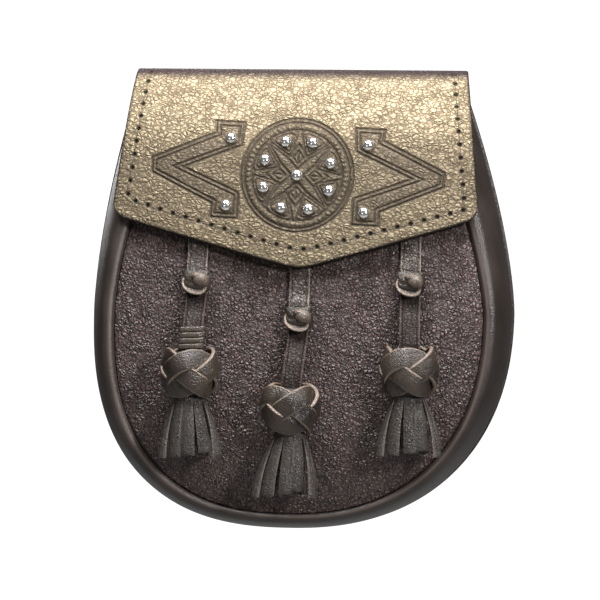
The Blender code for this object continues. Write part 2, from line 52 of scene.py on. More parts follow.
toward_camera = Vector((math.sin(view_turn) * math.cos(view_height),
                        -math.cos(view_turn) * math.cos(view_height), math.sin(view_height)))
level_right = Vector((math.cos(view_turn), math.sin(view_turn), 0))
level_up = toward_camera.cross(level_right)
camera_right = level_right * math.cos(view_roll) + level_up * math.sin(view_roll)
camera_up = level_up * math.cos(view_roll) - level_right * math.sin(view_roll)
bpy.ops.object.camera_add()
camera = bpy.context.object
camera.name = "photo_camera"
camera.data.lens = lens_length
camera.data.sensor_width = sensor_width
camera_turn = Matrix((camera_right, camera_up, toward_camera)).transposed().to_4x4()
camera.matrix_world = Matrix.Translation(view_target + toward_camera * view_distance) @ camera_turn
bpy.context.scene.camera = camera


# The studio: a wide overhead softbox that lights the slope of the flap, a small
# key from the upper right and a weak fill from the left, before a white sweep.
# Its dim sky looks white only where the camera sees it.
sky_light = 0.085
paper_tone = 0.28
floor_level = -0.60
sweep_size = 7.0
sweep_edge = 3.0
sweep_back = 2.6
sweep_height = 4.0
sweep_fold = 0.9
white = (1.0, 1.0, 1.0, 1.0)


def add_softbox(name, place, aim, width, height, power):
    direction = Vector(aim) - Vector(place)
    bpy.ops.object.light_add(type="AREA", location=place,
                             rotation=direction.to_track_quat("-Z", "Y").to_euler())
    lamp = bpy.context.object
    lamp.name = name
    lamp.data.shape = "RECTANGLE"
    lamp.data.size = width
    lamp.data.size_y = height
    lamp.data.energy = power


def set_sockets(tree, node, sockets):
    """Give each named socket of a node its plain value, or the output that feeds it."""
    for socket, value in sockets.items():
        if isinstance(value, bpy.types.NodeSocket):
            tree.links.new(value, node.inputs[socket])
        else:
            node.inputs[socket].default_value = value


def add_node(tree, kind, sockets=None, **settings):
    """Add a shader node with its settings, and set its sockets."""
    node = tree.nodes.new("ShaderNode" + kind)
    for setting, value in settings.items():
        setattr(node, setting, value)
    set_sockets(tree, node, sockets or {})
    return node


def new_material(name):
    """A material with its node tree and its Principled shader."""
    material = bpy.data.materials.new(name)
    material.use_nodes = True
    tree = material.node_tree
    return material, tree, tree.nodes["Principled BSDF"]


add_softbox("overhead_softbox", (0.03, -0.34, 0.85), (0, -0.02, -0.02), 1.0, 0.55, 31.6)
add_softbox("key_softbox", (0.62, -0.80, 0.30), (0, -0.02, -0.06), 0.14, 0.14, 8.6)
add_softbox("fill_softbox", (-0.5, -1.3, 0.02), (0, -0.02, -0.08), 0.5, 0.5, 1.1)
add_softbox("back_softbox", (-0.5, 1.1, 0.45), (0, 0, -0.05), 0.8, 0.8, 14.0)

world = bpy.context.scene.world or bpy.data.worlds.new("studio")
bpy.context.scene.world = world
world.use_nodes = True
sky_tree = world.node_tree
sky_seen = add_node(sky_tree, "LightPath").outputs["Is Camera Ray"]
sky_strength = add_node(sky_tree, "MapRange", {"Value": sky_seen, "To Min": sky_light, "To Max": 1.0})
set_sockets(sky_tree, sky_tree.nodes["Background"], {
    "Color": white, "Strength": sky_strength.outputs["Result"]})
bpy.context.scene.view_settings.view_transform = "Standard"

bpy.ops.mesh.primitive_plane_add(size=sweep_size, location=(0, 0, floor_level))
sweep = bpy.context.object
sweep.name = "studio_sweep"
bpy.ops.object.transform_apply(location=True, rotation=True, scale=True)
bpy.ops.object.mode_set(mode="EDIT")
bpy.ops.mesh.select_all(action="DESELECT")
sweep_mesh = bmesh.from_edit_mesh(sweep.data)
for edge in sweep_mesh.edges:
    if all(corner.co.y > sweep_edge for corner in edge.verts):
        edge.select_set(True)
bmesh.update_edit_mesh(sweep.data)
bpy.ops.mesh.extrude_region_move(TRANSFORM_OT_translate={"value": (0, 0, sweep_height)})
bpy.ops.object.mode_set(mode="OBJECT")
for corner in sweep.data.vertices:
    if corner.co.y > sweep_edge:
        corner.co.y = sweep_back
round_fold = sweep.modifiers.new("round_fold", "BEVEL")
round_fold.width = sweep_fold
round_fold.segments = 16
bpy.ops.object.modifier_apply(modifier="round_fold")
bpy.ops.object.shade_smooth()
paper, paper_tree, paper_shader = new_material("white_paper")
set_sockets(paper_tree, paper_shader, {
    "Base Color": (paper_tone, paper_tone, paper_tone, 1), "Roughness": 1.0, "Emission Color": white,
    "Emission Strength": add_node(paper_tree, "LightPath").outputs["Is Camera Ray"]})
sweep.data.materials.append(paper)


# Back panel: one flat piece of smooth brown leather, cut a little larger than the gusset that is sewn to it,
# with a rounded edge. Every other outline follows it.
top_z = 0.048
bottom_z = top_z - 0.2063
widest_z = top_z - 0.108
rear_y = -0.003
body_half = 0.1895 / 2
back_top_half = 0.1473 / 2
back_top_z = top_z - 0.008
back_wall = 0.0024
back_lip = 0.0012
side_power = 1.54
bottom_power = 2.39
round_share = 0.6
top_sway = 0.0022
bottom_sway = 0.0058
rim_steps = 260
smooth_brown = (0.018, 0.013, 0.011)
# Gain of the lighter colour painted where a mesh marks wear and painted highlight
wear_highlight_gain = 2.6


def sway(z):
    """Sideways drift of the pouch's centre line towards the left at both its ends."""
    rise = np.clip((z - widest_z) / (back_top_z - widest_z), 0, None)
    drop = np.clip((widest_z - z) / (widest_z - bottom_z), 0, None)
    return -top_sway * rise ** 1.5 - bottom_sway * drop ** 1.5


def half_width(outline, z):
    """Half width at a height; an outline is its half width, half width at the top, top and bottom."""
    half, top_half, outline_top, outline_bottom = outline
    rise = np.clip((z - widest_z) / (outline_top - widest_z), 0, None)
    drop = np.clip((widest_z - z) / (widest_z - outline_bottom), 0, 1)
    upper = half - (half - top_half) * rise ** side_power
    lower = half * (1 - drop ** bottom_power) ** (1 / bottom_power)
    return np.where(z >= widest_z, upper, lower)


def rim_points(outline, way, end_z):
    """Places (x, z) on an outline; way runs from -1 at the left end, 0 at the bottom, to 1."""
    along = np.abs(way)
    angle = np.clip(along / round_share, 0, 1) * math.pi / 2
    low_x = outline[0] * np.sin(angle) ** (2 / bottom_power)
    low_z = widest_z - (widest_z - outline[3]) * np.cos(angle) ** (2 / bottom_power)
    high_z = widest_z + (end_z - widest_z) * np.clip((along - round_share) / (1 - round_share), 0, 1)
    z = np.where(along > round_share, high_z, low_z)
    x = np.where(along > round_share, half_width(outline, high_z), low_x)
    return sway(z) + np.copysign(x, way), z


back_rim = (body_half, back_top_half, back_top_z, bottom_z)
foot_rim = (body_half - back_lip, back_top_half - back_lip, back_top_z, bottom_z + back_lip)


def finish_piece(piece, name, material, *nodes):
    """Name a piece, dress it and put it in place of its CAD nodes."""
    piece.name = name
    piece.data.name = name
    piece.data.materials.clear()
    piece.data.materials.append(material)
    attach(piece, "root")
    if nodes:
        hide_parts(*nodes)


def add_modifier(piece, kind, **settings):
    """Add a modifier with the given settings and apply it."""
    bpy.ops.object.select_all(action="DESELECT")
    bpy.context.view_layer.objects.active = piece
    piece.select_set(True)
    modifier = piece.modifiers.new(kind.lower(), kind)
    for setting, value in settings.items():
        setattr(modifier, setting, value)
    bpy.ops.object.modifier_apply(modifier=modifier.name)


def turn_faces_out():
    """Point all faces of the piece in edit mode outwards and leave edit mode."""
    bpy.ops.mesh.select_all(action="SELECT")
    bpy.ops.mesh.normals_make_consistent(inside=False)
    bpy.ops.object.mode_set(mode="OBJECT")


def round_edges(piece, width, segments, smooth_angle, sharp_angle=1.0):
    """Bevel the edges sharper than an angle in radians and shade smooth up to one in degrees."""
    add_modifier(piece, "BEVEL", width=width, segments=segments, limit_method="ANGLE",
                 angle_limit=sharp_angle)
    bpy.ops.object.shade_smooth_by_angle(angle=math.radians(smooth_angle))


def make_group(name, inputs, outputs):
    """A node group; an input with no value is a vector, and all other sockets are floats."""
    group = bpy.data.node_groups.new(name, "ShaderNodeTree")
    for socket, value in inputs.items():
        kind = "NodeSocketVector" if value is None else "NodeSocketFloat"
        made = group.interface.new_socket(name=socket, in_out="INPUT", socket_type=kind)
        if value is not None:
            made.default_value = value
    for socket in outputs:
        group.interface.new_socket(name=socket, in_out="OUTPUT", socket_type="NodeSocketFloat")
    return group, group.nodes.new("NodeGroupInput"), group.nodes.new("NodeGroupOutput")


# Fine pores and soft creases of smooth waxed leather, shared by all smooth pieces
hide_group, hide_in, hide_out = make_group(
    "smooth_hide", {"Vector": None, "Pore Scale": 1800.0, "Crease Scale": 160.0}, ["Height", "Patch"])
hide_place = hide_in.outputs["Vector"]
pores = add_node(hide_group, "TexVoronoi", {
    "Vector": hide_place, "Scale": hide_in.outputs["Pore Scale"]}, feature="F1")
creases = add_node(hide_group, "TexNoise", {
    "Vector": hide_place, "Scale": hide_in.outputs["Crease Scale"], "Detail": 5.0, "Roughness": 0.6})
patches = add_node(hide_group, "TexNoise", {"Vector": hide_place, "Scale": 45.0, "Detail": 3.0})
hide_mix = add_node(hide_group, "Mix", {
    "Factor": 0.7, "A": pores.outputs["Distance"], "B": creases.outputs["Fac"]})
set_sockets(hide_group, hide_out, {"Height": hide_mix.outputs["Result"], "Patch": patches.outputs["Fac"]})


def dye(tree, base, mask, colour, strength):
    """Mix a base colour towards another one where the mesh carries the mask."""
    layer = add_node(tree, "Attribute", attribute_name=mask)
    share = add_node(tree, "Math", {0: layer.outputs["Fac"], 1: strength}, operation="MULTIPLY")
    mix = add_node(tree, "Mix", {"Factor": share.outputs["Value"], "A": base, "B": (*colour, 1)},
                   data_type="RGBA")
    return mix.outputs["Result"]


def dress_shader(tree, shader, tone, main_colour, gloss, height, relief, strength):
    """Feed a leather's shader: its tone, painted lighter where the mesh marks wear and painted highlight, its
    gloss and relief.
    """
    wear_highlight_colour = [min(1.0, wear_highlight_gain * value) for value in main_colour]
    bump = add_node(tree, "Bump", {"Height": height, "Distance": relief, "Strength": strength})
    set_sockets(tree, shader, {"Base Color": dye(tree, tone, "wear_and_highlight", wear_highlight_colour, 1.0),
                               "Roughness": gloss.outputs["Result"], "Normal": bump.outputs["Normal"]})


def smooth_leather(name, colour, pale_colour, roughness, relief):
    """Waxed leather in two tones, with fine pores and soft creases."""
    material, tree, shader = new_material(name)
    place = add_node(tree, "TexCoord").outputs["Object"]
    hide = add_node(tree, "Group", {"Vector": place}, node_tree=hide_group)
    tone = add_node(tree, "ValToRGB", {"Fac": hide.outputs["Patch"]})
    for stop, position, shade in zip(tone.color_ramp.elements, (0.35, 0.75), (colour, pale_colour)):
        stop.position = position
        stop.color = (*shade, 1)
    gloss = add_node(tree, "MapRange", {
        "Value": hide.outputs["Patch"], "To Min": roughness - 0.08, "To Max": roughness + 0.10})
    dress_shader(tree, shader, tone.outputs["Color"], pale_colour, gloss, hide.outputs["Height"], relief, 0.8)
    return material


body_leather = smooth_leather("body_leather", smooth_brown, (0.034, 0.025, 0.021), 0.40, 0.0004)

bpy.ops.object.select_all(action="DESELECT")
bpy.ops.mesh.primitive_circle_add(vertices=rim_steps + 1, radius=body_half, fill_type="NGON")
back_panel = bpy.context.object
rim_x, rim_z = rim_points(back_rim, np.linspace(-1, 1, rim_steps + 1), back_top_z)
for corner, x, z in zip(back_panel.data.vertices, rim_x, rim_z):
    corner.co = (x, rear_y, z)
bpy.ops.object.mode_set(mode="EDIT")
bpy.ops.mesh.select_all(action="SELECT")
bpy.ops.mesh.extrude_region_move(TRANSFORM_OT_translate={"value": (0, -back_wall, 0)})
turn_faces_out()
round_edges(back_panel, 0.0007, 3, 40)
finish_piece(back_panel, "back_leather", body_leather, "back_panel")


# Gusset: a strip of smooth leather bent round both sides and the bottom. Its front
# edge is turned in to a groove round the front panel and leaves a rounded shoulder.
mouth_z = top_z - 0.036
panel_bottom_z = bottom_z + 0.0113
panel_half = 0.1612 / 2
panel_top_half = 0.126 / 2
leather_wall = 0.0020
clearance = 0.0003
groove_rim = (panel_half, panel_top_half, mouth_z, panel_bottom_z)
mouth_depth = 0.022
greatest_depth = 0.036
bottom_depth = 0.033
deepest_share = 0.68
panel_bulge = 0.0048
ridge_rise = 0.0012
gusset_end_z = top_z - 0.021
gusset_columns = 56
gusset_rows = 420
dent_depth = 0.00035
shoulder_highlight = 0.75
shoulder_across = 0.19
shoulder_spread = 0.055
gusset_section = [(0.00, 1.00, -0.30), (0.10, 1.00, 0.80), (0.26, 1.00, 1.00), (0.45, 0.97, 0.60),
                  (0.66, 0.84, 0.00), (0.84, 0.60, 0.00), (0.97, 0.30, 0.00), (1.00, 0.00, 0.00)]


def body_depth(z):
    """Depth of the gusset's front edge at a height, deepest two thirds of the way down."""
    share = (mouth_z - z) / (mouth_z - panel_bottom_z)
    before = greatest_depth - (greatest_depth - mouth_depth) * (1 - share / deepest_share) ** 2
    late = (share - deepest_share) / (1 - deepest_share)
    after = greatest_depth - (greatest_depth - bottom_depth) * late ** 2
    return np.where(share < deepest_share, before, after)


def panel_depth(x, z):
    """Depth of the pillowed front panel's outer face."""
    side = np.clip(np.abs(x - sway(z)) / np.maximum(half_width(groove_rim, z), clearance), 0, 1)
    low = np.clip((widest_z - z) / (widest_z - panel_bottom_z), 0, 1)
    return body_depth(z) + panel_bulge * (1 - side ** 4) * (1 - low ** 4)


def smooth_curve(values, shares):
    """Even Catmull-Rom reading of a short list of values at shares from 0 to 1."""
    values = np.asarray(values, float)
    spot = np.clip(shares, 0, 1) * (len(values) - 1)
    first = np.clip(np.floor(spot).astype(int), 0, len(values) - 2)
    part = spot - first
    before = values[np.maximum(first - 1, 0)]
    start = values[first]
    end = values[first + 1]
    after = values[np.minimum(first + 2, len(values) - 1)]
    return start + 0.5 * part * (end - before + part * (
        2 * before - 5 * start + 4 * end - after + part * (3 * (start - end) + after - before)))


def add_grid(columns, rows, x, y, z):
    """A grid primitive whose corners are moved to the given arrays, row by row."""
    bpy.ops.object.select_all(action="DESELECT")
    bpy.ops.mesh.primitive_grid_add(x_subdivisions=columns, y_subdivisions=rows, size=0.1)
    piece = bpy.context.object
    places = np.stack([np.ravel(x), np.ravel(y), np.ravel(z)], axis=1)
    piece.data.vertices.foreach_set("co", places.ravel())
    piece.data.update()
    return piece


def face_towards(piece, direction):
    """Turn an open sheet over where its middle face looks away from the direction."""
    faces = piece.data.polygons
    if faces[len(faces) // 2].normal.dot(Vector(direction)) < 0:
        piece.data.flip_normals()


def store_mask(piece, name, values):
    layer = piece.data.attributes.new(name, "FLOAT", "POINT")
    layer.data.foreach_set("value", np.ravel(values).astype(np.float32))


across, way = np.meshgrid(np.linspace(0, 1, gusset_columns + 1), np.linspace(-1, 1, gusset_rows + 1))
out_share, depth_share, rise_share = [
    smooth_curve([row[part] for row in gusset_section], across) for part in range(3)]
front_x, front_z = rim_points(groove_rim, way, mouth_z)
foot_x, foot_z = rim_points(foot_rim, way, gusset_end_z)
gusset_x = front_x + (foot_x - front_x) * out_share
gusset_z = front_z + (foot_z - front_z) * out_share
foot_depth = back_wall + clearance
gusset_depth = foot_depth + (body_depth(gusset_z) - foot_depth) * depth_share + ridge_rise * rise_share
soft_dents = dent_depth * np.sin(23 * way + 2.0) * np.sin(math.pi * across) * np.sin(9 * way)
gusset = add_grid(gusset_columns, gusset_rows, gusset_x, rear_y - gusset_depth - soft_dents, gusset_z)
# Painted highlight: a lighter band along the gusset's rounded shoulder, where its ridge catches the light
store_mask(gusset, "wear_and_highlight", shoulder_highlight * np.exp(-((across - shoulder_across) / shoulder_spread) ** 2))
middle_ridge = gusset.data.polygons[(gusset_rows // 2) * gusset_columns + gusset_columns // 4]
if middle_ridge.normal.y > 0:
    gusset.data.flip_normals()
add_modifier(gusset, "SOLIDIFY", thickness=leather_wall, offset=-1.0, use_even_offset=True)
round_edges(gusset, 0.0004, 2, 50)
finish_piece(gusset, "gusset_leather", body_leather, "gusset")


# Front panel: pebble-grained leather, pillowed forward, its edge turned under and
# sewn into the groove inside the gusset's shoulder.
def make_pebble_group():
    """Pebbles of hide: flat tops, narrow valleys, and a finer wrinkle across them."""
    group, group_in, group_out = make_group(
        "pebble_grain", {"Vector": None, "Pebble Scale": 420.0, "Warp": 0.0026, "Valley Width": 0.22},
        ["Height", "Valley"])
    place = group_in.outputs["Vector"]
    scale = group_in.outputs["Pebble Scale"]
    warp = add_node(group, "TexNoise", {"Vector": place, "Scale": 330.0, "Detail": 3.0})
    centred = add_node(group, "VectorMath", {
        0: warp.outputs["Color"], 1: (0.5, 0.5, 0.5)}, operation="SUBTRACT")
    amount = add_node(group, "VectorMath", {
        0: centred.outputs["Vector"], "Scale": group_in.outputs["Warp"]}, operation="SCALE")
    moved = add_node(group, "VectorMath", {0: place, 1: amount.outputs["Vector"]}, operation="ADD")
    cells = add_node(group, "TexVoronoi", {
        "Vector": moved.outputs["Vector"], "Scale": scale}, feature="DISTANCE_TO_EDGE")
    tops = add_node(group, "TexVoronoi", {
        "Vector": moved.outputs["Vector"], "Scale": scale, "Smoothness": 0.4}, feature="SMOOTH_F1")
    valley = add_node(group, "MapRange", {
        "Value": cells.outputs["Distance"], "From Max": group_in.outputs["Valley Width"]},
        interpolation_type="SMOOTHERSTEP")
    dome = add_node(group, "Math", {0: cells.outputs["Distance"], 1: 0.55}, operation="POWER")
    calm = add_node(group, "TexNoise", {"Vector": place, "Scale": 210.0})
    calm_share = add_node(group, "MapRange", {
        "Value": calm.outputs["Fac"], "From Min": 0.40, "From Max": 0.62, "To Min": 0.25, "To Max": 1.0})
    softened = add_node(group, "Math", {
        0: dome.outputs["Value"], 1: calm_share.outputs["Result"]}, operation="MULTIPLY")
    crown = add_node(group, "Math", {
        0: tops.outputs["Distance"], 1: -0.10, 2: softened.outputs["Value"]}, operation="MULTIPLY_ADD")
    wrinkle = add_node(group, "TexNoise", {"Vector": place, "Scale": 760.0, "Detail": 3.0})
    height = add_node(group, "Math", {
        0: wrinkle.outputs["Fac"], 1: 0.60, 2: crown.outputs["Value"]}, operation="MULTIPLY_ADD")
    set_sockets(group, group_out, {"Height": height.outputs["Value"], "Valley": valley.outputs["Result"]})
    return group


pebble_group = make_pebble_group()


def grained_leather(name, valley_colour, top_colour, pebble_scale, relief, roughness, stretch=(1, 1, 1),
                    smoothed_by=(), valley_width=0.22, warp=0.0026):
    """Pebbled leather in two tones, its grain flattened by the shares of the masks it is smoothed by."""
    material, tree, shader = new_material(name)
    place = add_node(tree, "TexCoord").outputs["Object"]
    spot = add_node(tree, "Mapping", {"Vector": place, "Scale": stretch}).outputs["Vector"]
    grain = add_node(tree, "Group", {
        "Vector": spot, "Pebble Scale": pebble_scale, "Valley Width": valley_width, "Warp": warp},
        node_tree=pebble_group)
    patch = add_node(tree, "TexNoise", {"Vector": spot, "Scale": 70.0, "Detail": 4.0})
    patch_tone = add_node(tree, "MapRange", {
        "Value": patch.outputs["Fac"], "From Min": 0.3, "From Max": 0.7, "To Min": 0.55, "To Max": 1.0})
    colour_share = add_node(tree, "Math", {
        0: patch_tone.outputs["Result"], 1: grain.outputs["Valley"]}, operation="MULTIPLY")
    tone = add_node(tree, "Mix", {
        "Factor": colour_share.outputs["Value"], "A": (*valley_colour, 1), "B": (*top_colour, 1)},
        data_type="RGBA")
    gloss = add_node(tree, "MapRange", {
        "Value": grain.outputs["Valley"], "To Min": roughness + 0.25, "To Max": roughness})
    height = grain.outputs["Height"]
    for mask, share in smoothed_by:
        layer = add_node(tree, "Attribute", attribute_name=mask)
        kept = add_node(tree, "MapRange", {
            "Value": layer.outputs["Fac"], "To Min": 1.0, "To Max": 1.0 - share})
        eased = add_node(tree, "Math", {0: kept.outputs["Result"], 1: height}, operation="MULTIPLY")
        height = eased.outputs["Value"]
    dress_shader(tree, shader, tone.outputs["Result"], top_colour, gloss, height, relief, 1.0)
    return material


panel_leather = grained_leather("panel_leather", (0.015, 0.009, 0.008), (0.096, 0.058, 0.052),
                                660.0, 0.0013, 0.32, (1, 1, 0.85), valley_width=0.26, warp=0.0036)

panel_rim = (panel_half - clearance, panel_top_half - clearance, mouth_z, panel_bottom_z + clearance)
panel_steps = 190
lowest_row = 0.012
edge_turn = 0.0006
across, way = np.meshgrid(np.linspace(-1, 1, panel_steps + 1), np.linspace(1, lowest_row, panel_steps + 1))
edge_x, panel_z = rim_points(panel_rim, way, mouth_z)
panel_x = sway(panel_z) + (edge_x - sway(panel_z)) * across
turned_edge = edge_turn * (1 - np.clip((1 - np.abs(across)) * 40, 0, 1)) ** 2
panel = add_grid(panel_steps, panel_steps, panel_x,
                 rear_y - panel_depth(panel_x, panel_z) + turned_edge, panel_z)
face_towards(panel, (0, -1, 0))
add_modifier(panel, "SOLIDIFY", thickness=leather_wall, offset=-1.0, use_even_offset=True)
bpy.ops.object.shade_smooth_by_angle(angle=math.radians(50))
finish_piece(panel, "panel_leather_front", panel_leather, "front_panel")


# Flap: one thick piece of bronze grained leather. It starts behind the back panel,
# folds over the top and hangs to a point. An emblem is pressed into its face.
flap_wall = 0.0030
flap_top_half = 0.1470 / 2
flap_half = 0.1610 / 2
flap_corner_drop = 0.0645
flap_tip_drop = 0.0864
flap_corner_z = top_z - flap_corner_drop
flap_tip_z = top_z - flap_tip_drop
flap_corner_radius = 0.0065
flap_middle = -0.0010
flap_drift = 0.0012
tip_drift = 0.0030
fold_radius = 0.008
fold_depth = 0.008
strap_wall = 0.0020
flap_clearance = 0.0009
tip_softness = 0.05
# Painted shade colour for the top of the flap's fold
fold_painted_shade = (0.042, 0.028, 0.028, 1)


def ease(share):
    """A share from 0 to 1 with a soft start and end."""
    share = np.clip(share, 0, 1)
    return share * share * (3 - 2 * share)


def flap_frame(z):
    """Middle and half width of the flap at height z."""
    down = np.clip((top_z - z) / flap_corner_drop, 0, 1)
    return flap_middle - flap_drift * down, flap_top_half + (flap_half - flap_top_half) * down


def flap_x(share, z):
    """Sideways place on the flap; share is -1 at its left edge and 1 at its right edge."""
    middle, half = flap_frame(z)
    return middle + share * half + tip_drift * (1 - np.abs(share)) * ease((top_z - z) / flap_tip_drop)


def flap_lower_z(share):
    """Height of the flap's lower edge: two slopes to a soft tip, and round corners."""
    slope = (np.hypot(share, tip_softness) - tip_softness) / (math.hypot(1, tip_softness) - tip_softness)
    into_corner = (np.abs(share) * flap_half - flap_half + flap_corner_radius) / flap_corner_radius
    into_corner = np.clip(into_corner, 0, 1)
    lift = flap_corner_radius * (1 - np.sqrt(1 - into_corner ** 2))
    return flap_tip_z + (flap_corner_z - flap_tip_z) * slope + lift


def flap_depth(x, z):
    """Depth of the flap's outer face, from its fold down to its lower edge."""
    def low_depth(level):
        """Depth where the flap lies over the pouch's front at a level."""
        side = np.clip(np.abs(x - flap_frame(level)[0]) / flap_half, 0, 1)
        at_ridge = body_depth(level) + ridge_rise + flap_clearance + flap_wall
        return at_ridge + (panel_bulge + clearance + strap_wall - ridge_rise) * (1 - side ** 4)

    share = np.clip((z - mouth_z) / (top_z - mouth_z), 0, 1)
    fall = low_depth(np.full_like(z, top_z)) - fold_depth
    return low_depth(z) - fall * (1 - np.sqrt(1 - share * share))


# The emblem in its own flat place: chevrons either side of a round medallion
emblem_x = -0.0010
emblem_z = top_z - 0.0466
emblem_turn = math.radians(2.5)
millimetre = 0.001
chevron_corners = [(37.0, 21.6), (24.3, 21.6), (25.0, 11.6), (50.0, 1.0), (26.0, -8.5), (24.9, -9.6),
                   (24.9, -20.0), (36.6, -20.0), (36.4, -14.0), (63.6, -1.9), (63.9, 4.3), (36.4, 16.8)]
chevron_border = 1.75
chevron_gap_corners = [(25.4, -8.0), (25.0, 11.2), (49.0, 1.0)]
medallion_radius = 24.8
ring_radii = [24.4, 22.9, 19.6]
bead_ring_radius = 21.25
bead_ring_half = 1.35
bead_radius = 1.05
bead_count = 64
bead_rise = 0.00028
petal_count = 8
petal_corners = [(8.6, 0.0), (17.6, 6.3), (19.3, 4.6), (19.6, 0.0)]
inner_petal_corners = [(10.9, 0.0), (16.9, 4.6), (18.2, 3.2), (18.5, 0.0)]
diamond_corners = [(2.6, 0.0), (7.4, 4.7), (13.4, 0.0)]
inner_diamond_corners = [(5.0, 0.0), (7.6, 2.3), (10.6, 0.0), (5.0, 0.0)]
band_ends = [(7.4, 4.7), (13.0, 13.0)]
groove_width = 0.00044
groove_depth = 0.00036


def to_emblem(x, z):
    """Places on the flap as millimetres across and up the emblem."""
    step_x = (x - emblem_x) / millimetre
    step_z = (z - emblem_z) / millimetre
    cosine = math.cos(emblem_turn)
    sine = math.sin(emblem_turn)
    return step_x * cosine - step_z * sine, step_x * sine + step_z * cosine


def distance_to_line(a, b, corners, closed):
    """Distance of places from a line through corners."""
    nearest = np.full(a.shape, 1e3)
    ends = corners[1:] + corners[:1] if closed else corners[1:]
    for (x0, z0), (x1, z1) in zip(corners, ends):
        run_x, run_z = x1 - x0, z1 - z0
        length = run_x * run_x + run_z * run_z
        share = np.clip(((a - x0) * run_x + (b - z0) * run_z) / length, 0, 1)
        nearest = np.minimum(nearest, np.hypot(a - x0 - share * run_x, b - z0 - share * run_z))
    return nearest


def inset_corners(corners, inset):
    """Corners of the same closed outline moved inwards by an even distance."""
    moved = []
    count = len(corners)
    area = sum(corners[k][0] * corners[(k + 1) % count][1] - corners[(k + 1) % count][0] * corners[k][1]
               for k in range(count))
    side = 1 if area > 0 else -1
    for k in range(count):
        before = Vector(corners[k]) - Vector(corners[k - 1])
        after = Vector(corners[(k + 1) % count]) - Vector(corners[k])
        before.normalize()
        after.normalize()
        first = Vector((-before.y, before.x)) * side
        second = Vector((-after.y, after.x)) * side
        middle = (first + second).normalized()
        reach = inset / max(middle.dot(first), 0.35)
        moved.append((corners[k][0] + middle.x * reach, corners[k][1] + middle.y * reach))
    return moved


def inside_outline(a, b, corners):
    """1 where a place lies inside a closed outline, by counting the sides to its right."""
    crossings = np.zeros(a.shape, int)
    for (x0, z0), (x1, z1) in zip(corners, corners[1:] + corners[:1]):
        spans = (z0 > b) != (z1 > b)
        at = x0 + (b - z0) * (x1 - x0) / (z1 - z0 if z1 != z0 else 1e-9)
        crossings += spans & (a < at)
    return (crossings % 2).astype(float)


def emblem_relief(x, z):
    """Pressed lines (0 to 1) and raised work (0 to 1) of the emblem at places on the flap."""
    a, b = to_emblem(x, z)
    mirrored = np.abs(a)
    radius = np.hypot(a, b)
    turn = np.arctan2(b, a)
    sector = 2 * math.pi / petal_count
    petal_turn = (turn - sector / 2) % sector
    petal_turn = np.minimum(petal_turn, sector - petal_turn)
    quarter = (turn + math.pi / 4) % (math.pi / 2) - math.pi / 4
    arm = (mirrored, b)
    petal = (radius * np.cos(petal_turn), radius * np.sin(petal_turn))
    diamond = (radius * np.cos(quarter), radius * np.abs(np.sin(quarter)))
    lines = np.min([np.abs(radius - ring) for ring in ring_radii], axis=0)
    for places, corners, closed, fainter in (
            (arm, chevron_corners, True, 0),
            (arm, inset_corners(chevron_corners, chevron_border), True, 0.12),
            (petal, petal_corners, False, 0), (petal, inner_petal_corners, False, 0.15),
            (diamond, diamond_corners, False, 0), (diamond, inner_diamond_corners, False, 0.1)):
        lines = np.minimum(lines, distance_to_line(*places, corners, closed) + fainter)
    with_bands = np.minimum(lines, distance_to_line(*diamond, band_ends, False))
    lines = np.where(radius < ring_radii[-1], with_bands, lines)
    pressed = np.clip(1.5 * np.exp(-(lines / (groove_width / millimetre)) ** 2), 0, 1)
    bead_turn = (turn * bead_count / (2 * math.pi)) % 1.0 - 0.5
    bead = np.hypot(bead_turn * 2 * math.pi * bead_ring_radius / bead_count, radius - bead_ring_radius)
    raised = np.clip(1 - (bead / bead_radius) ** 2, 0, 1)
    between_beads = (np.abs(radius - bead_ring_radius) < bead_ring_half) * (1 - raised)
    pressed = np.maximum(pressed, 0.32 * between_beads)
    burnished = np.maximum(ease((medallion_radius - radius) / 0.8), inside_outline(*arm, chevron_corners))
    burnished = np.maximum(burnished, 0.4 * inside_outline(*arm, chevron_gap_corners))
    return pressed, raised, burnished


tail_depth = -(clearance + flap_wall)
tail_z = back_top_z - 0.014
edge_roundness = 0.0011
stitch_inset = 0.0063
lower_stitch_insets = [0.0088, 0.0080, 0.0054]
stitch_pitch = 0.0060
stitch_top_z = top_z - 0.0017
hole_radius = 0.00084
hole_depth = 0.0006
thread_radius = 0.00024
thread_reach = 0.64
face_way = 2.4
emblem_way = 2.727
flesh_reach = 0.987
flesh_start = 0.06
flesh_end = 3.972
flesh_columns = 72


def flap_places(across, way):
    """Outer face of the flap; way is 0 at its tail, 2 on the fold, 3 at the mouth, 4 at its edge."""
    behind = np.clip(way - 1, 0, 1) * math.pi / 2
    before = np.clip(3 - way, 0, 1) * math.pi / 2
    z = tail_z + (back_top_z - tail_z) * np.minimum(way, 1) + fold_radius * np.sin(behind)
    z = np.where(way > 2, mouth_z + (top_z - mouth_z) * np.sin(before), z)
    z = np.where(way > 3, mouth_z + (flap_lower_z(across) - mouth_z) * (way - 3), z)
    x = flap_x(across, z)
    depth = np.where(way > 2, flap_depth(x, z), fold_depth - (fold_depth - tail_depth) * np.cos(behind))
    return np.stack([x, rear_y - depth, z], axis=-1)


def outward_normals(places):
    """Normals of a grid of places, from the steps along its rows and columns."""
    normal = np.cross(np.gradient(places, axis=0), np.gradient(places, axis=1))
    return normal / np.linalg.norm(normal, axis=-1, keepdims=True)


def dense_ends(reach, count, even):
    """Shares from -1 to 1, evenly spaced inside the reach and closer together at both ends."""
    end = (1 - reach) * (1 - np.cos(np.linspace(0, math.pi / 2, count + 1)[:-1]))
    return np.concatenate([-1 + end, np.linspace(-reach, reach, even + 1), (1 - end)[::-1]])


def even_places(places, pitch):
    """Points at an even pitch along a dense chain of places."""
    lengths = np.concatenate([[0], np.cumsum(np.linalg.norm(np.diff(places, axis=0), axis=1))])
    count = round(lengths[-1] / pitch)
    wanted = np.linspace(0, lengths[-1], count + 1)
    return np.stack([np.interp(wanted, lengths, places[:, k]) for k in range(3)], axis=-1)


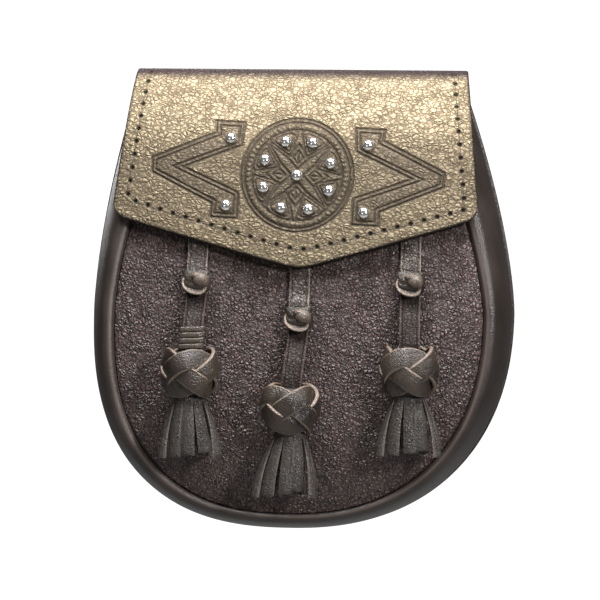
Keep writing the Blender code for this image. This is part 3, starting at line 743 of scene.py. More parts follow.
def add_stitches(name, holes, out, radius, material):
    """Short threads that dip into the leather at both ends, one between each two holes."""
    out = np.array(out)
    bpy.ops.object.select_all(action="DESELECT")
    bpy.ops.mesh.primitive_uv_sphere_add(segments=12, ring_count=8, radius=1.0)
    thread = bpy.context.object
    shape = np.empty(len(thread.data.vertices) * 3)
    thread.data.vertices.foreach_get("co", shape)
    shape = shape.reshape(-1, 3)
    copies = []
    for start, end in zip(holes[:-1], holes[1:]):
        along = (end - start) / 2
        side = np.cross(along / np.linalg.norm(along), out)
        copies.append(thread.copy())
        copies[-1].data = thread.data.copy()
        bpy.context.collection.objects.link(copies[-1])
        placed = (start + end) / 2 + np.outer(shape[:, 2], along * thread_reach)
        placed += np.outer(shape[:, 0], side * radius) + np.outer(shape[:, 1], out * radius)
        copies[-1].data.vertices.foreach_set("co", placed.ravel())
    bpy.data.objects.remove(thread, do_unlink=True)
    for copy in copies:
        copy.select_set(True)
    bpy.context.view_layer.objects.active = copies[0]
    bpy.ops.object.join()
    bpy.ops.object.mode_set(mode="EDIT")
    turn_faces_out()
    bpy.ops.object.shade_smooth()
    finish_piece(bpy.context.object, name, material)


columns = dense_ends(0.955, 10, 368)
lower_ways = dense_ends(0.9, 11, 200)[-112:]
lower_ways = (lower_ways - lower_ways[0]) / (lower_ways[-1] - lower_ways[0])
ways = np.concatenate([
    np.linspace(0, 1, 4)[:-1],
    np.linspace(1, 2, 11)[:-1],
    np.linspace(2, emblem_way, 62)[:-1],
    np.linspace(emblem_way, 3, 39)[:-1],
    3 + lower_ways,
])
across, way = np.meshgrid(columns, ways)
flap_face = flap_places(across, way)
flap_out = outward_normals(flap_face)
side_distance = (1 - np.abs(across)) * flap_frame(flap_face[..., 2])[1]
lower_distance = np.where(way < 2, flap_face[..., 2] - tail_z,
                          (flap_face[..., 2] - flap_lower_z(across)) * 0.96)
edge_distance = np.minimum(side_distance, lower_distance)

# The stitched line runs down one side, along both slopes to the tip and up the other side
corner_share = 1 - stitch_inset / flap_half
corner_level = flap_lower_z(np.array(corner_share))
slope_shares = np.linspace(-corner_share, corner_share, 400)[1:-1]
slope_z = flap_lower_z(slope_shares) + np.interp(slope_shares, [-1, 0, 1], lower_stitch_insets)
left_z = np.linspace(stitch_top_z, corner_level + lower_stitch_insets[0], 200)
right_z = np.linspace(corner_level + lower_stitch_insets[2], stitch_top_z, 200)
stitch_x = np.concatenate([flap_x(stitch_inset / flap_frame(left_z)[1] - 1, left_z),
                           flap_x(slope_shares, slope_z),
                           flap_x(1 - stitch_inset / flap_frame(right_z)[1], right_z)])
stitch_z = np.concatenate([left_z, slope_z, right_z])
stitch_line = np.stack([stitch_x, rear_y - flap_depth(stitch_x, stitch_z), stitch_z], axis=-1)
flap_holes = even_places(stitch_line, stitch_pitch)

pressed, raised, burnished = emblem_relief(flap_face[..., 0], flap_face[..., 2])
pressed, raised, burnished = [mask * (way > face_way) for mask in (pressed, raised, burnished)]
hole_mask = np.zeros(pressed.shape)
for hole in flap_holes:
    from_hole = np.linalg.norm(flap_face - hole, axis=-1)
    hole_mask = np.maximum(hole_mask, np.exp(-(from_hole / hole_radius) ** 2))
into_edge = np.clip(edge_roundness - edge_distance, 0, edge_roundness)
edge_drop = edge_roundness - np.sqrt(np.clip(edge_roundness ** 2 - into_edge ** 2, 0, None))
relief = bead_rise * raised - groove_depth * pressed - hole_depth * hole_mask - edge_drop
flap_surface = flap_face + flap_out * relief[..., None]
flap = add_grid(len(columns) - 1, len(ways) - 1, *np.moveaxis(flap_surface, -1, 0))
face_towards(flap, (0, -1, 0))
for mask_name, mask in (("pressed", pressed), ("hole", np.clip(2.4 * hole_mask - 0.2, 0, 1)),
                        ("burnished", burnished), ("edge", np.exp(-(edge_distance / edge_roundness) ** 2))):
    store_mask(flap, mask_name, mask)
bpy.ops.object.mode_set(mode="EDIT")
bpy.ops.mesh.select_all(action="SELECT")
bpy.ops.mesh.region_to_loop()
bpy.ops.mesh.extrude_region_move()
bpy.ops.object.mode_set(mode="OBJECT")
border = np.ones(way.shape, bool)
border[1:-1, 1:-1] = False
border_places = flap_surface[border]
border_out = flap_out[border]
for corner in flap.data.vertices:
    if corner.select:
        nearest = np.argmin(np.abs(border_places - np.array(corner.co)).sum(axis=1))
        corner.co = corner.co - Vector(border_out[nearest]) * (flap_wall - 2 * edge_roundness)
flesh_ways = [np.linspace(flesh_start, 1, 3)[:-1], np.linspace(1, 2, 8)[:-1],
              np.linspace(2, 3, 16)[:-1], np.linspace(3, flesh_end, 24)]
flesh_across, flesh_way = np.meshgrid(np.linspace(-flesh_reach, flesh_reach, flesh_columns + 1),
                                      np.concatenate(flesh_ways))
flesh_face = flap_places(flesh_across, flesh_way)
flesh_face = flesh_face - outward_normals(flesh_face) * flap_wall
flesh = add_grid(flesh_columns, flesh_face.shape[0] - 1, *np.moveaxis(flesh_face, -1, 0))
face_towards(flesh, (0, 1, 0))
flap.select_set(True)
flesh.select_set(True)
bpy.context.view_layer.objects.active = flap
bpy.ops.object.join()
bpy.ops.object.mode_set(mode="EDIT")
bpy.ops.mesh.select_mode(type="EDGE")
bpy.ops.mesh.select_all(action="DESELECT")
bpy.ops.mesh.select_non_manifold(extend=False, use_wire=False, use_boundary=True,
                                 use_multi_face=False, use_non_contiguous=False, use_verts=False)
bpy.ops.mesh.bridge_edge_loops()
turn_faces_out()
bpy.ops.object.shade_smooth_by_angle(angle=math.radians(60))


# Pebbled leather rubbed with a pale bronze: light crowns, brown valleys, dyed edge and lines, painted shade
# in the stitch holes and on the fold, and painted light that makes it lighter towards the top
flap_leather = grained_leather("bronze_leather", (0.205, 0.158, 0.102), (0.340, 0.278, 0.180),
                               530.0, 0.00078, 0.54, (0.85, 1, 1.1),
                               (("pressed", 0.9), ("burnished", 0.25), ("hole", 1.0)), warp=0.0036)
bronze_tree = flap_leather.node_tree
bronze_shader = bronze_tree.nodes["Principled BSDF"]
bronze_tone = bronze_shader.inputs["Base Color"].links[0].from_socket
# The near black in the stitch holes is painted shade, where no light reaches into them
for mask_name, colour, strength in (("burnished", (0.092, 0.070, 0.052), 0.56),
                                    ("pressed", (0.034, 0.024, 0.017), 0.68),
                                    ("hole", (0.004, 0.003, 0.002), 1.0),
                                    ("edge", (0.020, 0.013, 0.010), 0.95)):
    bronze_tone = dye(bronze_tree, bronze_tone, mask_name, colour, strength)
bronze_place = add_node(bronze_tree, "TexCoord").outputs["Object"]
bronze_height = add_node(bronze_tree, "SeparateXYZ", {"Vector": bronze_place}).outputs["Z"]
# Painted light: the flap's colour is scaled down to six tenths towards its lower part and kept full near the
# fold, as the light from above falls on it
painted_light_share = add_node(bronze_tree, "MapRange", {
    "Value": bronze_height, "From Min": 0.004, "From Max": 0.032, "To Min": 0.60, "To Max": 1.0},
    interpolation_type="SMOOTHSTEP")
painted_light_bronze = add_node(bronze_tree, "VectorMath", {
    0: bronze_tone, "Scale": painted_light_share.outputs["Result"]}, operation="SCALE")
# Painted shade: a dark brown band along the top of the fold, where its face turns up and away from the light
fold_shade_share = add_node(bronze_tree, "MapRange", {
    "Value": bronze_height, "From Min": top_z - 0.0062, "From Max": top_z - 0.0010},
    interpolation_type="SMOOTHSTEP")
fold_shaded_bronze = add_node(bronze_tree, "Mix", {
    "Factor": fold_shade_share.outputs["Result"], "A": painted_light_bronze.outputs["Vector"], "B": fold_painted_shade},
    data_type="RGBA")
set_sockets(bronze_tree, bronze_shader, {"Metallic": 0.68, "Base Color": fold_shaded_bronze.outputs["Result"]})
finish_piece(flap, "flap_leather", flap_leather, "flap")
thread_material = smooth_leather("waxed_thread", (0.060, 0.042, 0.028), (0.12, 0.09, 0.06), 0.6, 0.0001)
add_stitches("flap_stitches", flap_holes, (0, -1.0, 0.15), thread_radius, thread_material)


# Studs: thirteen polished domes of chromed steel, riveted through the flap. One is in
# the middle of the medallion, eight in a ring round it and two on each chevron.
stud_radius = 0.0026
stud_height = 0.0020
stud_sink = 0.0001
stud_ring_radius = 0.0155
chevron_stud = (0.0300, 0.0146)

chrome, chrome_tree, chrome_shader = new_material("chrome")
chrome_haze = add_node(chrome_tree, "TexNoise", {
    "Vector": add_node(chrome_tree, "TexCoord").outputs["Object"], "Scale": 900.0, "Detail": 4.0})
chrome_gloss = add_node(chrome_tree, "MapRange", {
    "Value": chrome_haze.outputs["Fac"], "To Min": 0.10, "To Max": 0.24})
set_sockets(chrome_tree, chrome_shader, {
    "Base Color": (0.92, 0.91, 0.89, 1), "Metallic": 0.96, "Roughness": chrome_gloss.outputs["Result"]})

stud_spots = [(0.0, 0.0)]
for number in range(petal_count):
    stud_angle = math.radians(90) + 2 * math.pi * (number + 0.5) / petal_count
    stud_spots.append((stud_ring_radius * math.cos(stud_angle), stud_ring_radius * math.sin(stud_angle)))
for side in (-1, 1):
    for level in (1, -1):
        stud_spots.append((side * chevron_stud[0], level * chevron_stud[1]))


def flap_normal(x, z):
    """Direction that the flap's face looks in at a place."""
    step = 0.001
    level = np.array([z, z, z - step, z + step])
    depths = flap_depth(np.array([x - step, x + step, x, x]), level)
    return Vector((depths[0] - depths[1], -2 * step, depths[2] - depths[3])).normalized()


bpy.ops.object.select_all(action="DESELECT")
bpy.ops.mesh.primitive_uv_sphere_add(segments=40, ring_count=24, radius=stud_radius)
stud_model = bpy.context.object
bpy.ops.object.mode_set(mode="EDIT")
bpy.ops.mesh.select_all(action="SELECT")
bpy.ops.mesh.bisect(plane_co=(0, 0, 0.00002), plane_no=(0, 0, 1), use_fill=True, clear_inner=True)
bpy.ops.mesh.select_all(action="SELECT")
bpy.ops.transform.resize(value=(1, 1, (stud_height + stud_sink) / stud_radius), center_override=(0, 0, 0))
bpy.ops.object.mode_set(mode="OBJECT")
bpy.ops.object.shade_smooth_by_angle(angle=math.radians(50))
for number, (spot_x, spot_z) in enumerate(stud_spots, start=1):
    x = emblem_x + spot_x * math.cos(emblem_turn) + spot_z * math.sin(emblem_turn)
    z = emblem_z - spot_x * math.sin(emblem_turn) + spot_z * math.cos(emblem_turn)
    out = flap_normal(x, z)
    seat = Vector((x, rear_y - float(flap_depth(np.array(x), np.array(z))), z)) + out * stud_sink
    stud = stud_model.copy()
    stud.data = stud_model.data.copy()
    bpy.context.collection.objects.link(stud)
    stud.data.transform(Matrix.Translation(seat) @ out.to_track_quat("Z", "Y").to_matrix().to_4x4())
    finish_piece(stud, f"stud_dome_{number:02d}", chrome, f"stud_{number:02d}")
bpy.data.objects.remove(stud_model, do_unlink=True)


# Hanging straps: three narrow leather straps sewn down under the flap, each with a
# slide of knotted thong, a woven ball and a tassel cut from a rolled piece of leather.
strap_spread = 0.0465
strap_width = 0.0088
strap_top_z = top_z - 0.064
slide_drop = 0.0921
slide_width = 0.0127
slide_height = 0.0110
slide_depth = 0.008
slide_forward = 0.001
knot_drop = 0.1292
knot_width = 0.0245
knot_height = 0.020
knot_depth = 0.0205
knot_relief = 0.0009
middle_drop = 0.0156
neck_radius = 0.0052
edge_round = 0.0006
strap_creases = [(0.0034, 0.0010), (0.0031, 0.0006), (0.0028, 0.0010),
                 (-0.0028, 0.0010), (-0.0031, 0.0006), (-0.0034, 0.0010)]
curl_spots = [(-4.4, 2.4, 2.0), (-5.8, 0.0, 2.6), (-5.4, -2.6, 3.6), (-3.2, -4.5, 4.6), (-0.4, -5.4, 5.0),
              (2.2, -5.3, 5.0), (3.9, -4.1, 4.6), (4.3, -2.2, 3.8)]
tucked_balls = [((0.0020, 0.0008, 0.0008), (0.0034, 0.0028, 0.0030)),
                ((0.0006, 0.0024, 0.0004), (0.0030, 0.0026, 0.0017)),
                ((0.0036, 0.0001, 0.0004), (0.0020, 0.0025, 0.0027))]
plait_width = 0.0086
plait_wall = 0.0018
plait_bights = 4
plait_turns = 3
plait_reach = 0.66
plait_weave = 0.00075
plait_seat = 0.0004
plait_cupping = 16
plait_narrowing = 0.28
core_drop = 0.0021
core_bore = 0.0036
wrap_count = 4
wrap_pitch = 0.0024
wrap_rise = 0.0012
wrap_tilt = 0.0004
wrap_stand = 0.0005
slide_swell = 0.86
crease_depth = 0.0004
curl_seat = 0.0008
strip_wall = 0.0015
strip_curl = 0.16
strip_twist = 0.13
tassel_length = 0.0370
collar_long = 0.0138
collar_deep = 0.0112
flare_long = 0.0108
flare_deep = 0.0053
strip_bow = 0.0009
side_bow = 0.0013
side_flare = 0.0017
collar_rings = [(0.0050, 0.0050, 0.0035), (0.0060, 0.0052, 0.0018), (0.0070, 0.0056, 0.0004),
                (0.0070, 0.0056, -0.0008), (0.0062, 0.0046, -0.0012)]
# Strips in each layer of a tassel, how far out they hang and how much shorter they are
tassel_layers = [(10, 1.0, 0.0), (6, 0.55, 0.05)]
# Shares of the spread at the slide, knot and tip; how much lower slide and knot hang;
# length of the tassel; turn of the plait
hangings = {
    "left": (-0.940, -0.970, -0.960, 0.03, 0.14, 1.00, 0.3),
    "middle": (0.020, -0.040, -0.085, 1.00, 1.10, 1.03, 0.9),
    "right": (1.050, 1.056, 1.062, 0.00, 0.00, 0.99, 0.0),
}
strap_leather = smooth_leather("strap_leather", (0.013, 0.009, 0.007), (0.064, 0.048, 0.037), 0.28, 0.0009)
strap_grain = grained_leather("strap_grain", (0.017, 0.012, 0.010), (0.086, 0.065, 0.053),
                              700.0, 0.0009, 0.32)
# Painted shade: a darker, less glossy copy of the strap leather for the strap's part below its slide, which
# hangs in shade
strap_painted_shade = grained_leather("strap_painted_shade", (0.009, 0.006, 0.005), (0.034, 0.023, 0.020),
                             700.0, 0.0007, 0.48)
strap_painted_shade.node_tree.nodes["Principled BSDF"].inputs["Specular IOR Level"].default_value = 0.22
tassel_leather = grained_leather("tassel_leather", (0.016, 0.013, 0.011), (0.050, 0.041, 0.036),
                                 1000.0, 0.0005, 0.44, (1, 1, 0.7))
filler_leather = smooth_leather("filler_leather", (0.020, 0.015, 0.012), (0.034, 0.027, 0.021), 0.6, 0.0003)


def add_tube(name, sections, closed_path, material, angle=45, wear_and_highlight=None):
    """A tube through closed sections of points, its seam merged and its ends closed.

    The shares of wear and painted highlight, one for each point of a section, mark where its edges are
    painted lighter.
    """
    rings = [list(section) + [section[0]] for section in sections]
    if closed_path:
        rings.append(rings[0])
    places = np.array(rings, float)
    tube = add_grid(places.shape[1] - 1, places.shape[0] - 1, *np.moveaxis(places, -1, 0))
    if wear_and_highlight is not None:
        store_mask(tube, "wear_and_highlight", np.tile(list(wear_and_highlight) + [wear_and_highlight[0]], places.shape[0]))
    bpy.ops.object.mode_set(mode="EDIT")
    bpy.ops.mesh.select_all(action="SELECT")
    bpy.ops.mesh.remove_doubles(threshold=0.000002)
    if not closed_path:
        bpy.ops.mesh.fill_holes(sides=0)
    turn_faces_out()
    bpy.ops.object.shade_smooth_by_angle(angle=math.radians(angle))
    tube.name = name
    tube.data.materials.append(material)
    return tube


def join_pieces(pieces):
    """Join pieces into the first one."""
    bpy.ops.object.select_all(action="DESELECT")
    for piece in pieces:
        piece.select_set(True)
    bpy.context.view_layer.objects.active = pieces[0]
    bpy.ops.object.join()
    return bpy.context.object


def wear_highlight_edges(section, width, reach):
    """Share of wear and painted highlight at each point of a strap's section: 1 along its cut edges."""
    return [max(0.0, min(1.0, (abs(a) - width / 2 + reach) / reach * 1.6)) for a, b in section]


def rounded_section(width, thickness, radius, steps=3):
    """Corners of a strap's cross-section, its four edges rounded."""
    spots = []
    for side_x, side_y, start in ((1, 1, 0), (-1, 1, 90), (-1, -1, 180), (1, -1, 270)):
        for step in range(steps + 1):
            angle = math.radians(start + 90 * step / steps)
            spots.append((side_x * (width / 2 - radius) + radius * math.cos(angle),
                          side_y * (thickness / 2 - radius) + radius * math.sin(angle)))
    return spots


def round_angles(count):
    """Even angles once round a circle."""
    return np.linspace(0, 2 * math.pi, count + 1)[:-1]


def around_strap(angle, gap):
    """Place on a squarish ring round a strap's section, at a gap from it."""
    cosine, sine = math.cos(angle), math.sin(angle)
    return ((strap_width / 2 + gap) * math.copysign(abs(cosine) ** 0.4, cosine),
            (strap_wall / 2 + gap) * math.copysign(abs(sine) ** 0.4, sine))


def curl_spot(share):
    """Middle of the slide's curled thong: across, up and forward of the slide."""
    return [float(smooth_curve([spot[part] for spot in curl_spots], np.array(share))) / 1000
            for part in range(3)]


def paint_wear_highlight_evenly(piece, share):
    """Paint a piece lighter by the same share all over, as wear and painted highlight."""
    store_mask(piece, "wear_and_highlight", np.full(len(piece.data.vertices), share))


for side, (slide_share, knot_share, tip_share, slide_low, knot_low, tassel_share, turn) in hangings.items():
    slide_z = top_z - slide_drop - slide_low * middle_drop
    knot_z = top_z - knot_drop - knot_low * middle_drop

    def hanging_x(z):
        """Sideways place of the strap's middle line at a height."""
        share = ease((slide_z - z) / (slide_z - knot_z))
        return float(strap_spread * (slide_share + (knot_share - slide_share) * share))

    def axis_depth():
        """Depth of the knot's upright axis, which keeps the knot just off the panel."""
        x = hanging_x(knot_z)
        return float(panel_depth(np.array(x), np.array(knot_z))) + knot_depth / 2 + knot_relief + clearance

    def strap_depth(z):
        """Depth of the strap's middle: on the panel, out through the slide, then out to the knot."""
        on_panel = clearance + strap_wall / 2
        at_slide = clearance + slide_depth / 2 - slide_forward
        towards_slide = float(ease((slide_z + slide_height - z) / (slide_height / 2)))
        stand = on_panel + (at_slide - on_panel) * towards_slide
        depth = float(panel_depth(np.array(hanging_x(z)), np.array(z))) + stand
        leave_z = slide_z - slide_height / 2
        arrive_z = knot_z + knot_height / 2
        return depth + (axis_depth() - depth) * float(ease((leave_z - z) / (leave_z - arrive_z)))

    # The strap itself, with rounded edges and a pressed line inside each of them
    strap_start = strap_top_z - (middle_drop if side == "middle" else 0)
    strap_end = knot_z + knot_height / 4 + clearance
    section = rounded_section(strap_width, strap_wall, edge_round)
    section = section[:4] + strap_creases + section[4:]
    rings = []
    for z in np.linspace(strap_start, strap_end, 70):
        x = hanging_x(z)
        depth = strap_depth(z)
        rings.append([(x + a, rear_y - depth - b, z) for a, b in section])
    # The strap's cut edges are painted lighter, as wear and painted highlight
    strap = add_tube("strap", rings, False, strap_grain, 45, wear_highlight_edges(section, strap_width, edge_round))
    finish_piece(strap, f"hanging_strap_{side}", strap_grain, f"strap_{side}")
    # Painted shade: the strap's faces below the slide take the darker copy
    strap.data.materials.append(strap_painted_shade)
    for face in strap.data.polygons:
        face.material_index = 1 if face.center.z < slide_z else 0

    # The slide: a thick ring of thong, a turn that curls under it and the tucked end as a ball
    rings = []
    for angle in round_angles(60):
        cosine, sine = math.cos(angle), math.sin(angle)
        near_x, near_y = around_strap(angle, edge_round)
        ring = []
        for level in np.linspace(-0.97, 0.97, 17):
            swell = math.sqrt(1 - level * level)
            crease = crease_depth * math.exp(-((level - 0.25 - 0.35 * math.sin(angle * 2 + 1.0)) / 0.14) ** 2)
            far_x = (slide_width / 2 - crease) * cosine
            far_y = slide_forward + (slide_depth / 2 - crease) * sine
            z = slide_z + level * slide_height / 2 * slide_swell
            ring.append((hanging_x(z) + near_x + (far_x - near_x) * swell,
                         rear_y - strap_depth(z) - near_y - (far_y - near_y) * swell, z))
        rings.append(ring)
    slide = add_tube("slide", rings, True, strap_leather, 60)
    curl = []
    thong = rounded_section(0.0026, 0.0010, 0.0005)
    for share in np.linspace(0, 1, 48):
        a0, b0, c0 = curl_spot(share)
        a1, b1, c1 = curl_spot(share + 0.02)
        along = Vector((a1 - a0, -(c1 - c0), b1 - b0)).normalized() if share < 0.99 else along
        inward = Vector((-a0, 0.0030, -b0))
        inward = (inward - along * inward.dot(along)).normalized()
        thick = along.cross(inward).normalized()
        centre = Vector((hanging_x(slide_z) + a0, rear_y - strap_depth(slide_z) - c0, slide_z + b0))
        curl.append([centre + inward * (a + curl_seat) + thick * b for a, b in thong])
    # Painted highlight: the curl's outer cut edge is painted lighter, where it catches the light
    curl_edge_highlight = [1.0 if a < -edge_round else 0.0 for a, b in thong]
    slide_pieces = [slide, add_tube("curl", curl, False, strap_leather, 50, curl_edge_highlight)]
    slide_front = rear_y - strap_depth(slide_z) - slide_depth / 2 + edge_round
    for (ball_x, ball_rise, ball_forward), size in tucked_balls:
        bpy.ops.object.select_all(action="DESELECT")
        bpy.ops.mesh.primitive_uv_sphere_add(
            segments=28, ring_count=18, radius=1.0, scale=size,
            location=(hanging_x(slide_z) + ball_x, slide_front - ball_forward, slide_z + ball_rise))
        slide_pieces.append(bpy.context.object)
        bpy.ops.object.transform_apply(location=True, rotation=True, scale=True)
        bpy.ops.object.shade_smooth()
        # Painted highlight: each tucked ball is painted lighter all over, as the light catches it
        paint_wear_highlight_evenly(bpy.context.object, 0.55)
    slide = join_pieces(slide_pieces)
    finish_piece(slide, f"slide_thong_{side}", strap_leather, f"slide_{side}")

    # The woven ball: one flat thong plaited three times round in four bights over a core
    knot_x = hanging_x(knot_z)
    knot_axis_y = rear_y - axis_depth()

    def ball_point(angle, level, lift):
        """Point of the ball at a turn round it and a level from -1 to 1, lifted off its form."""
        swell = math.cos(math.asin(level)) ** 0.8 * (1 + plait_narrowing * min(level, 0))
        reach_x = neck_radius + (knot_width / 2 - neck_radius) * swell + lift
        reach_y = neck_radius + (knot_depth / 2 - neck_radius) * swell + lift
        return Vector((knot_x + reach_x * math.cos(angle), knot_axis_y - reach_y * math.sin(angle),
                       knot_z + level * (knot_height / 2 + 0.4 * lift)))

    def band_point(t, lift):
        """Point of the plaited thong's middle line, which goes over and under itself by turns."""
        level = plait_reach * math.cos(plait_bights * t)
        weave = plait_weave * math.sin(2 * plait_bights * t)
        return ball_point(plait_turns * t - turn, level, weave - plait_seat + lift)

    thong = rounded_section(plait_width, plait_wall, 0.0007)
    rings = []
    for t in round_angles(288):
        centre = band_point(t, 0)
        along = (band_point(t + 0.01, 0) - band_point(t - 0.01, 0)).normalized()
        out = (band_point(t, 0.001) - centre).normalized()
        across_band = along.cross(out).normalized()
        out = across_band.cross(along).normalized()
        rings.append([centre + across_band * a + out * (b - plait_cupping * a * a) for a, b in thong])
    # The thong's edges are painted lighter, as wear and painted highlight
    band = add_tube("band", rings, True, strap_leather, 45, wear_highlight_edges(thong, plait_width, edge_round))
    core = []
    for angle in round_angles(48):
        ring = [ball_point(angle, level, -core_drop) for level in np.linspace(-0.92, 0.92, 13)]
        hole = [Vector((knot_x + core_bore * math.cos(angle), knot_axis_y - core_bore * math.sin(angle),
                        knot_z + level * knot_height / 2)) for level in (0.9, -0.9)]
        core.append(ring + hole)
    knot_pieces = [band, add_tube("core", core, True, filler_leather, 45)]
    for wrap in range(wrap_count if side == "left" else 0):
        rings = []
        for angle in round_angles(40):
            cosine, sine = math.cos(angle), math.sin(angle)
            z = knot_z + knot_height / 2 + wrap_rise + wrap_pitch * wrap + wrap_tilt * cosine
            near_x, near_y = around_strap(angle, 0.0001)
            rings.append([(hanging_x(z) + near_x + (b + wrap_stand) * cosine,
                           rear_y - strap_depth(z) - near_y - (b + wrap_stand) * sine, z + a)
                          for a, b in rounded_section(0.0023, 0.0012, 0.0005)])
        knot_pieces.append(add_tube("wrap", rings, True, strap_leather, 50))
        # The wraps are painted a little lighter all over, as wear and painted highlight
        paint_wear_highlight_evenly(knot_pieces[-1], 0.12)
    knot = join_pieces(knot_pieces)
    knot.name = f"woven_knot_{side}"
    knot.data.name = knot.name
    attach(knot, "root")
    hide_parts(f"knot_{side}")

    # The tassel: strips cut from one collar, the outer ones bowed, a shorter bunch inside
    collar_z = knot_z - knot_height / 2 - clearance - 0.0015
    tip_z = knot_z - tassel_length * tassel_share
    tip_x = strap_spread * tip_share
    length = collar_z - tip_z
    strips = []
    for layer, (count, in_share, short_share) in enumerate(tassel_layers):
        for strip in range(count):
            middle = 2 * math.pi * (strip + 0.5 + 0.35 * layer) / count
            wander = math.sin(strip * 2.4 + turn * 7 + layer)
            shorter = length * (0.04 * ((strip * 3) % 4) + short_share)
            shares, edges = np.meshgrid(np.linspace(0, 1, 15), np.linspace(-0.5, 0.5, 6), indexing="ij")
            spread = shares ** 1.3
            bow = strip_bow * np.sin(math.pi * shares) * (1 + 0.5 * wander)
            bow = bow + side_bow * abs(math.cos(middle)) ** 3 * np.sin(math.pi * shares * 0.75)
            long_half = ((collar_long + flare_long * spread) / 2 - 0.0007) * in_share + bow
            deep_half = ((collar_deep + flare_deep * spread) / 2 - 0.0007) * in_share + bow
            outermost = abs(math.cos(middle)) > 0.75 and layer == 0
            width_share = 0.45 if outermost else 0.97 if math.sin(middle) > 0.5 else 0.74
            long_half = long_half + side_flare * outermost * shares ** 1.5
            twist = strip_twist * wander * shares
            angle = middle + edges * width_share * 2 * math.pi / count + twist
            curl_in = 1 - strip_curl * (edges * 2) ** 2 * shares
            x = knot_x + (tip_x - knot_x) * shares + long_half * np.cos(angle) * curl_in
            y = knot_axis_y - deep_half * np.sin(angle) * curl_in
            z = collar_z + (tip_z + shorter - collar_z) * shares + 0.0006 * wander * edges * shares
            strip_piece = add_grid(5, 14, x, y, z)
            # Painted highlight: the strips' edges are painted lighter, most on the strips that face sideways
            store_mask(strip_piece, "wear_and_highlight", (0.4 + 0.6 * abs(math.cos(middle)) ** 3) * (np.abs(edges) > 0.45))
            middle_face = strip_piece.data.polygons[len(strip_piece.data.polygons) // 2].center
            face_towards(strip_piece, (middle_face.x - knot_x, middle_face.y - knot_axis_y, 0))
            add_modifier(strip_piece, "SOLIDIFY", thickness=strip_wall, offset=0.0, use_even_offset=True)
            round_edges(strip_piece, 0.0003, 2, 40)
            strips.append(strip_piece)
    rings = []
    for radius_x, radius_y, rise in [(0.0048, 0.0048, knot_z + knot_height / 4 - collar_z)] + collar_rings:
        rings.append([(knot_x + radius_x * math.cos(angle), knot_axis_y - radius_y * math.sin(angle),
                       collar_z + rise) for angle in round_angles(40)])
    collar = add_tube("collar", rings, False, tassel_leather, 50)
    tassel = join_pieces([collar] + strips)
    finish_piece(tassel, f"cut_tassel_{side}", tassel_leather, f"tassel_{side}")


# Belt loop: a wide band of smooth leather sewn to the back panel above and below
# the way that the belt goes through, its edges rounded and waxed.
loop_half = 0.035
passage_half_height = 0.017
passage_half_depth = 0.003
loop_wall = 0.0020
loop_flange = 0.0085
loop_bend = 0.0022
foot_bend = 0.0008


def loop_profile(offset):
    """Half profile (z, y) of the band at a distance from its inner face, with round bends."""
    seat = rear_y + clearance
    spots = [(passage_half_height + loop_flange, seat + offset)]
    for step in range(5):
        angle = math.radians(90 * step / 4)
        spots.append((passage_half_height + offset + foot_bend * (1 - math.sin(angle)),
                      seat + offset + foot_bend * (1 - math.cos(angle))))
    bend = loop_bend + offset * 0.4
    for step in range(7):
        angle = math.radians(90 * step / 6)
        spots.append((passage_half_height + offset - bend * (1 - math.cos(angle)),
                      passage_half_depth + offset - bend * (1 - math.sin(angle))))
    return spots


inner_profile = loop_profile(0.0)
outer_profile = loop_profile(loop_wall)
loop_section = inner_profile + [(-z, y) for z, y in reversed(inner_profile)]
loop_section += [(-z, y) for z, y in outer_profile] + [(z, y) for z, y in reversed(outer_profile)]
rings = [[(x, y, z) for z, y in loop_section] for x in np.linspace(-loop_half, loop_half, 21)]
loop_leather = smooth_leather("loop_leather", smooth_brown, (0.060, 0.042, 0.033), 0.45, 0.0004)
belt_loop = add_tube("belt_loop_band", rings, False, loop_leather, 40)
round_edges(belt_loop, 0.0004, 2, 40, sharp_angle=1.2)
finish_piece(belt_loop, "belt_loop_band", loop_leather, "belt_loop")


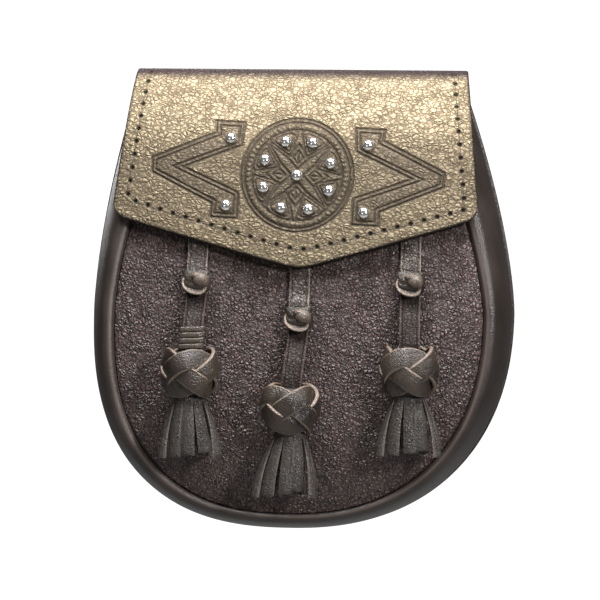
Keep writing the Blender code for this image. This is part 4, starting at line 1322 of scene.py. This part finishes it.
# Sewing at the back: waxed thread in an even row round the back panel, where the gusset
# is sewn on, and in a row through each flange of the belt loop.
back_stitch_inset = 0.0042
back_stitch_pitch = 0.0052
back_thread_radius = 0.00032
thread_stand = 0.0001
row_end = 0.004
back_line = (body_half - back_stitch_inset, back_top_half - back_stitch_inset, back_top_z,
             bottom_z + back_stitch_inset)
line_x, line_z = rim_points(back_line, np.linspace(-1, 1, 600), back_top_z - 0.017)
back_places = np.stack([line_x, np.full(line_x.shape, rear_y + thread_stand), line_z], axis=-1)
add_stitches("back_stitches", even_places(back_places, back_stitch_pitch), (0, 1.0, 0), back_thread_radius,
             thread_material)
for level, level_name in ((1, "upper"), (-1, "lower")):
    flange_z = level * (passage_half_height + loop_flange * 0.62)
    flange_y = rear_y + clearance + loop_wall + thread_stand
    flange_line = np.array([[x, flange_y, flange_z]
                            for x in np.linspace(-loop_half + row_end, loop_half - row_end, 40)])
    add_stitches(f"loop_stitches_{level_name}", even_places(flange_line, back_stitch_pitch), (0, 1.0, 0),
                 back_thread_radius, thread_material)


# Clasp: a plain round press stud of brass, fixed in the front panel and hidden
# under the flap, which it holds down.
clasp_radius = 0.005
clasp_height = 0.0044
clasp_z = top_z - 0.056
clasp_rear = rear_y - float(panel_depth(np.array(0.0), np.array(clasp_z))) - clearance
clasp_front = clasp_rear - clasp_height

brass, brass_tree, brass_shader = new_material("brass")
brass_noise = add_node(brass_tree, "TexNoise", {
    "Vector": add_node(brass_tree, "TexCoord").outputs["Object"], "Scale": 400.0})
brass_tone = add_node(brass_tree, "ValToRGB", {"Fac": brass_noise.outputs["Fac"]})
brass_tone.color_ramp.elements[0].color = (0.42, 0.28, 0.11, 1)
brass_tone.color_ramp.elements[1].color = (0.60, 0.44, 0.20, 1)
set_sockets(brass_tree, brass_shader, {
    "Base Color": brass_tone.outputs["Color"], "Metallic": 1.0, "Roughness": 0.28})
bpy.ops.object.select_all(action="DESELECT")
bpy.ops.mesh.primitive_cylinder_add(vertices=48, radius=clasp_radius, depth=clasp_rear - clasp_front,
                                    location=(0, (clasp_rear + clasp_front) / 2, clasp_z),
                                    rotation=(math.radians(90), 0, 0))
clasp = bpy.context.object
bpy.ops.object.transform_apply(location=True, rotation=True, scale=True)
round_edges(clasp, 0.0004, 3, 40)
finish_piece(clasp, "press_stud", brass, "clasp")
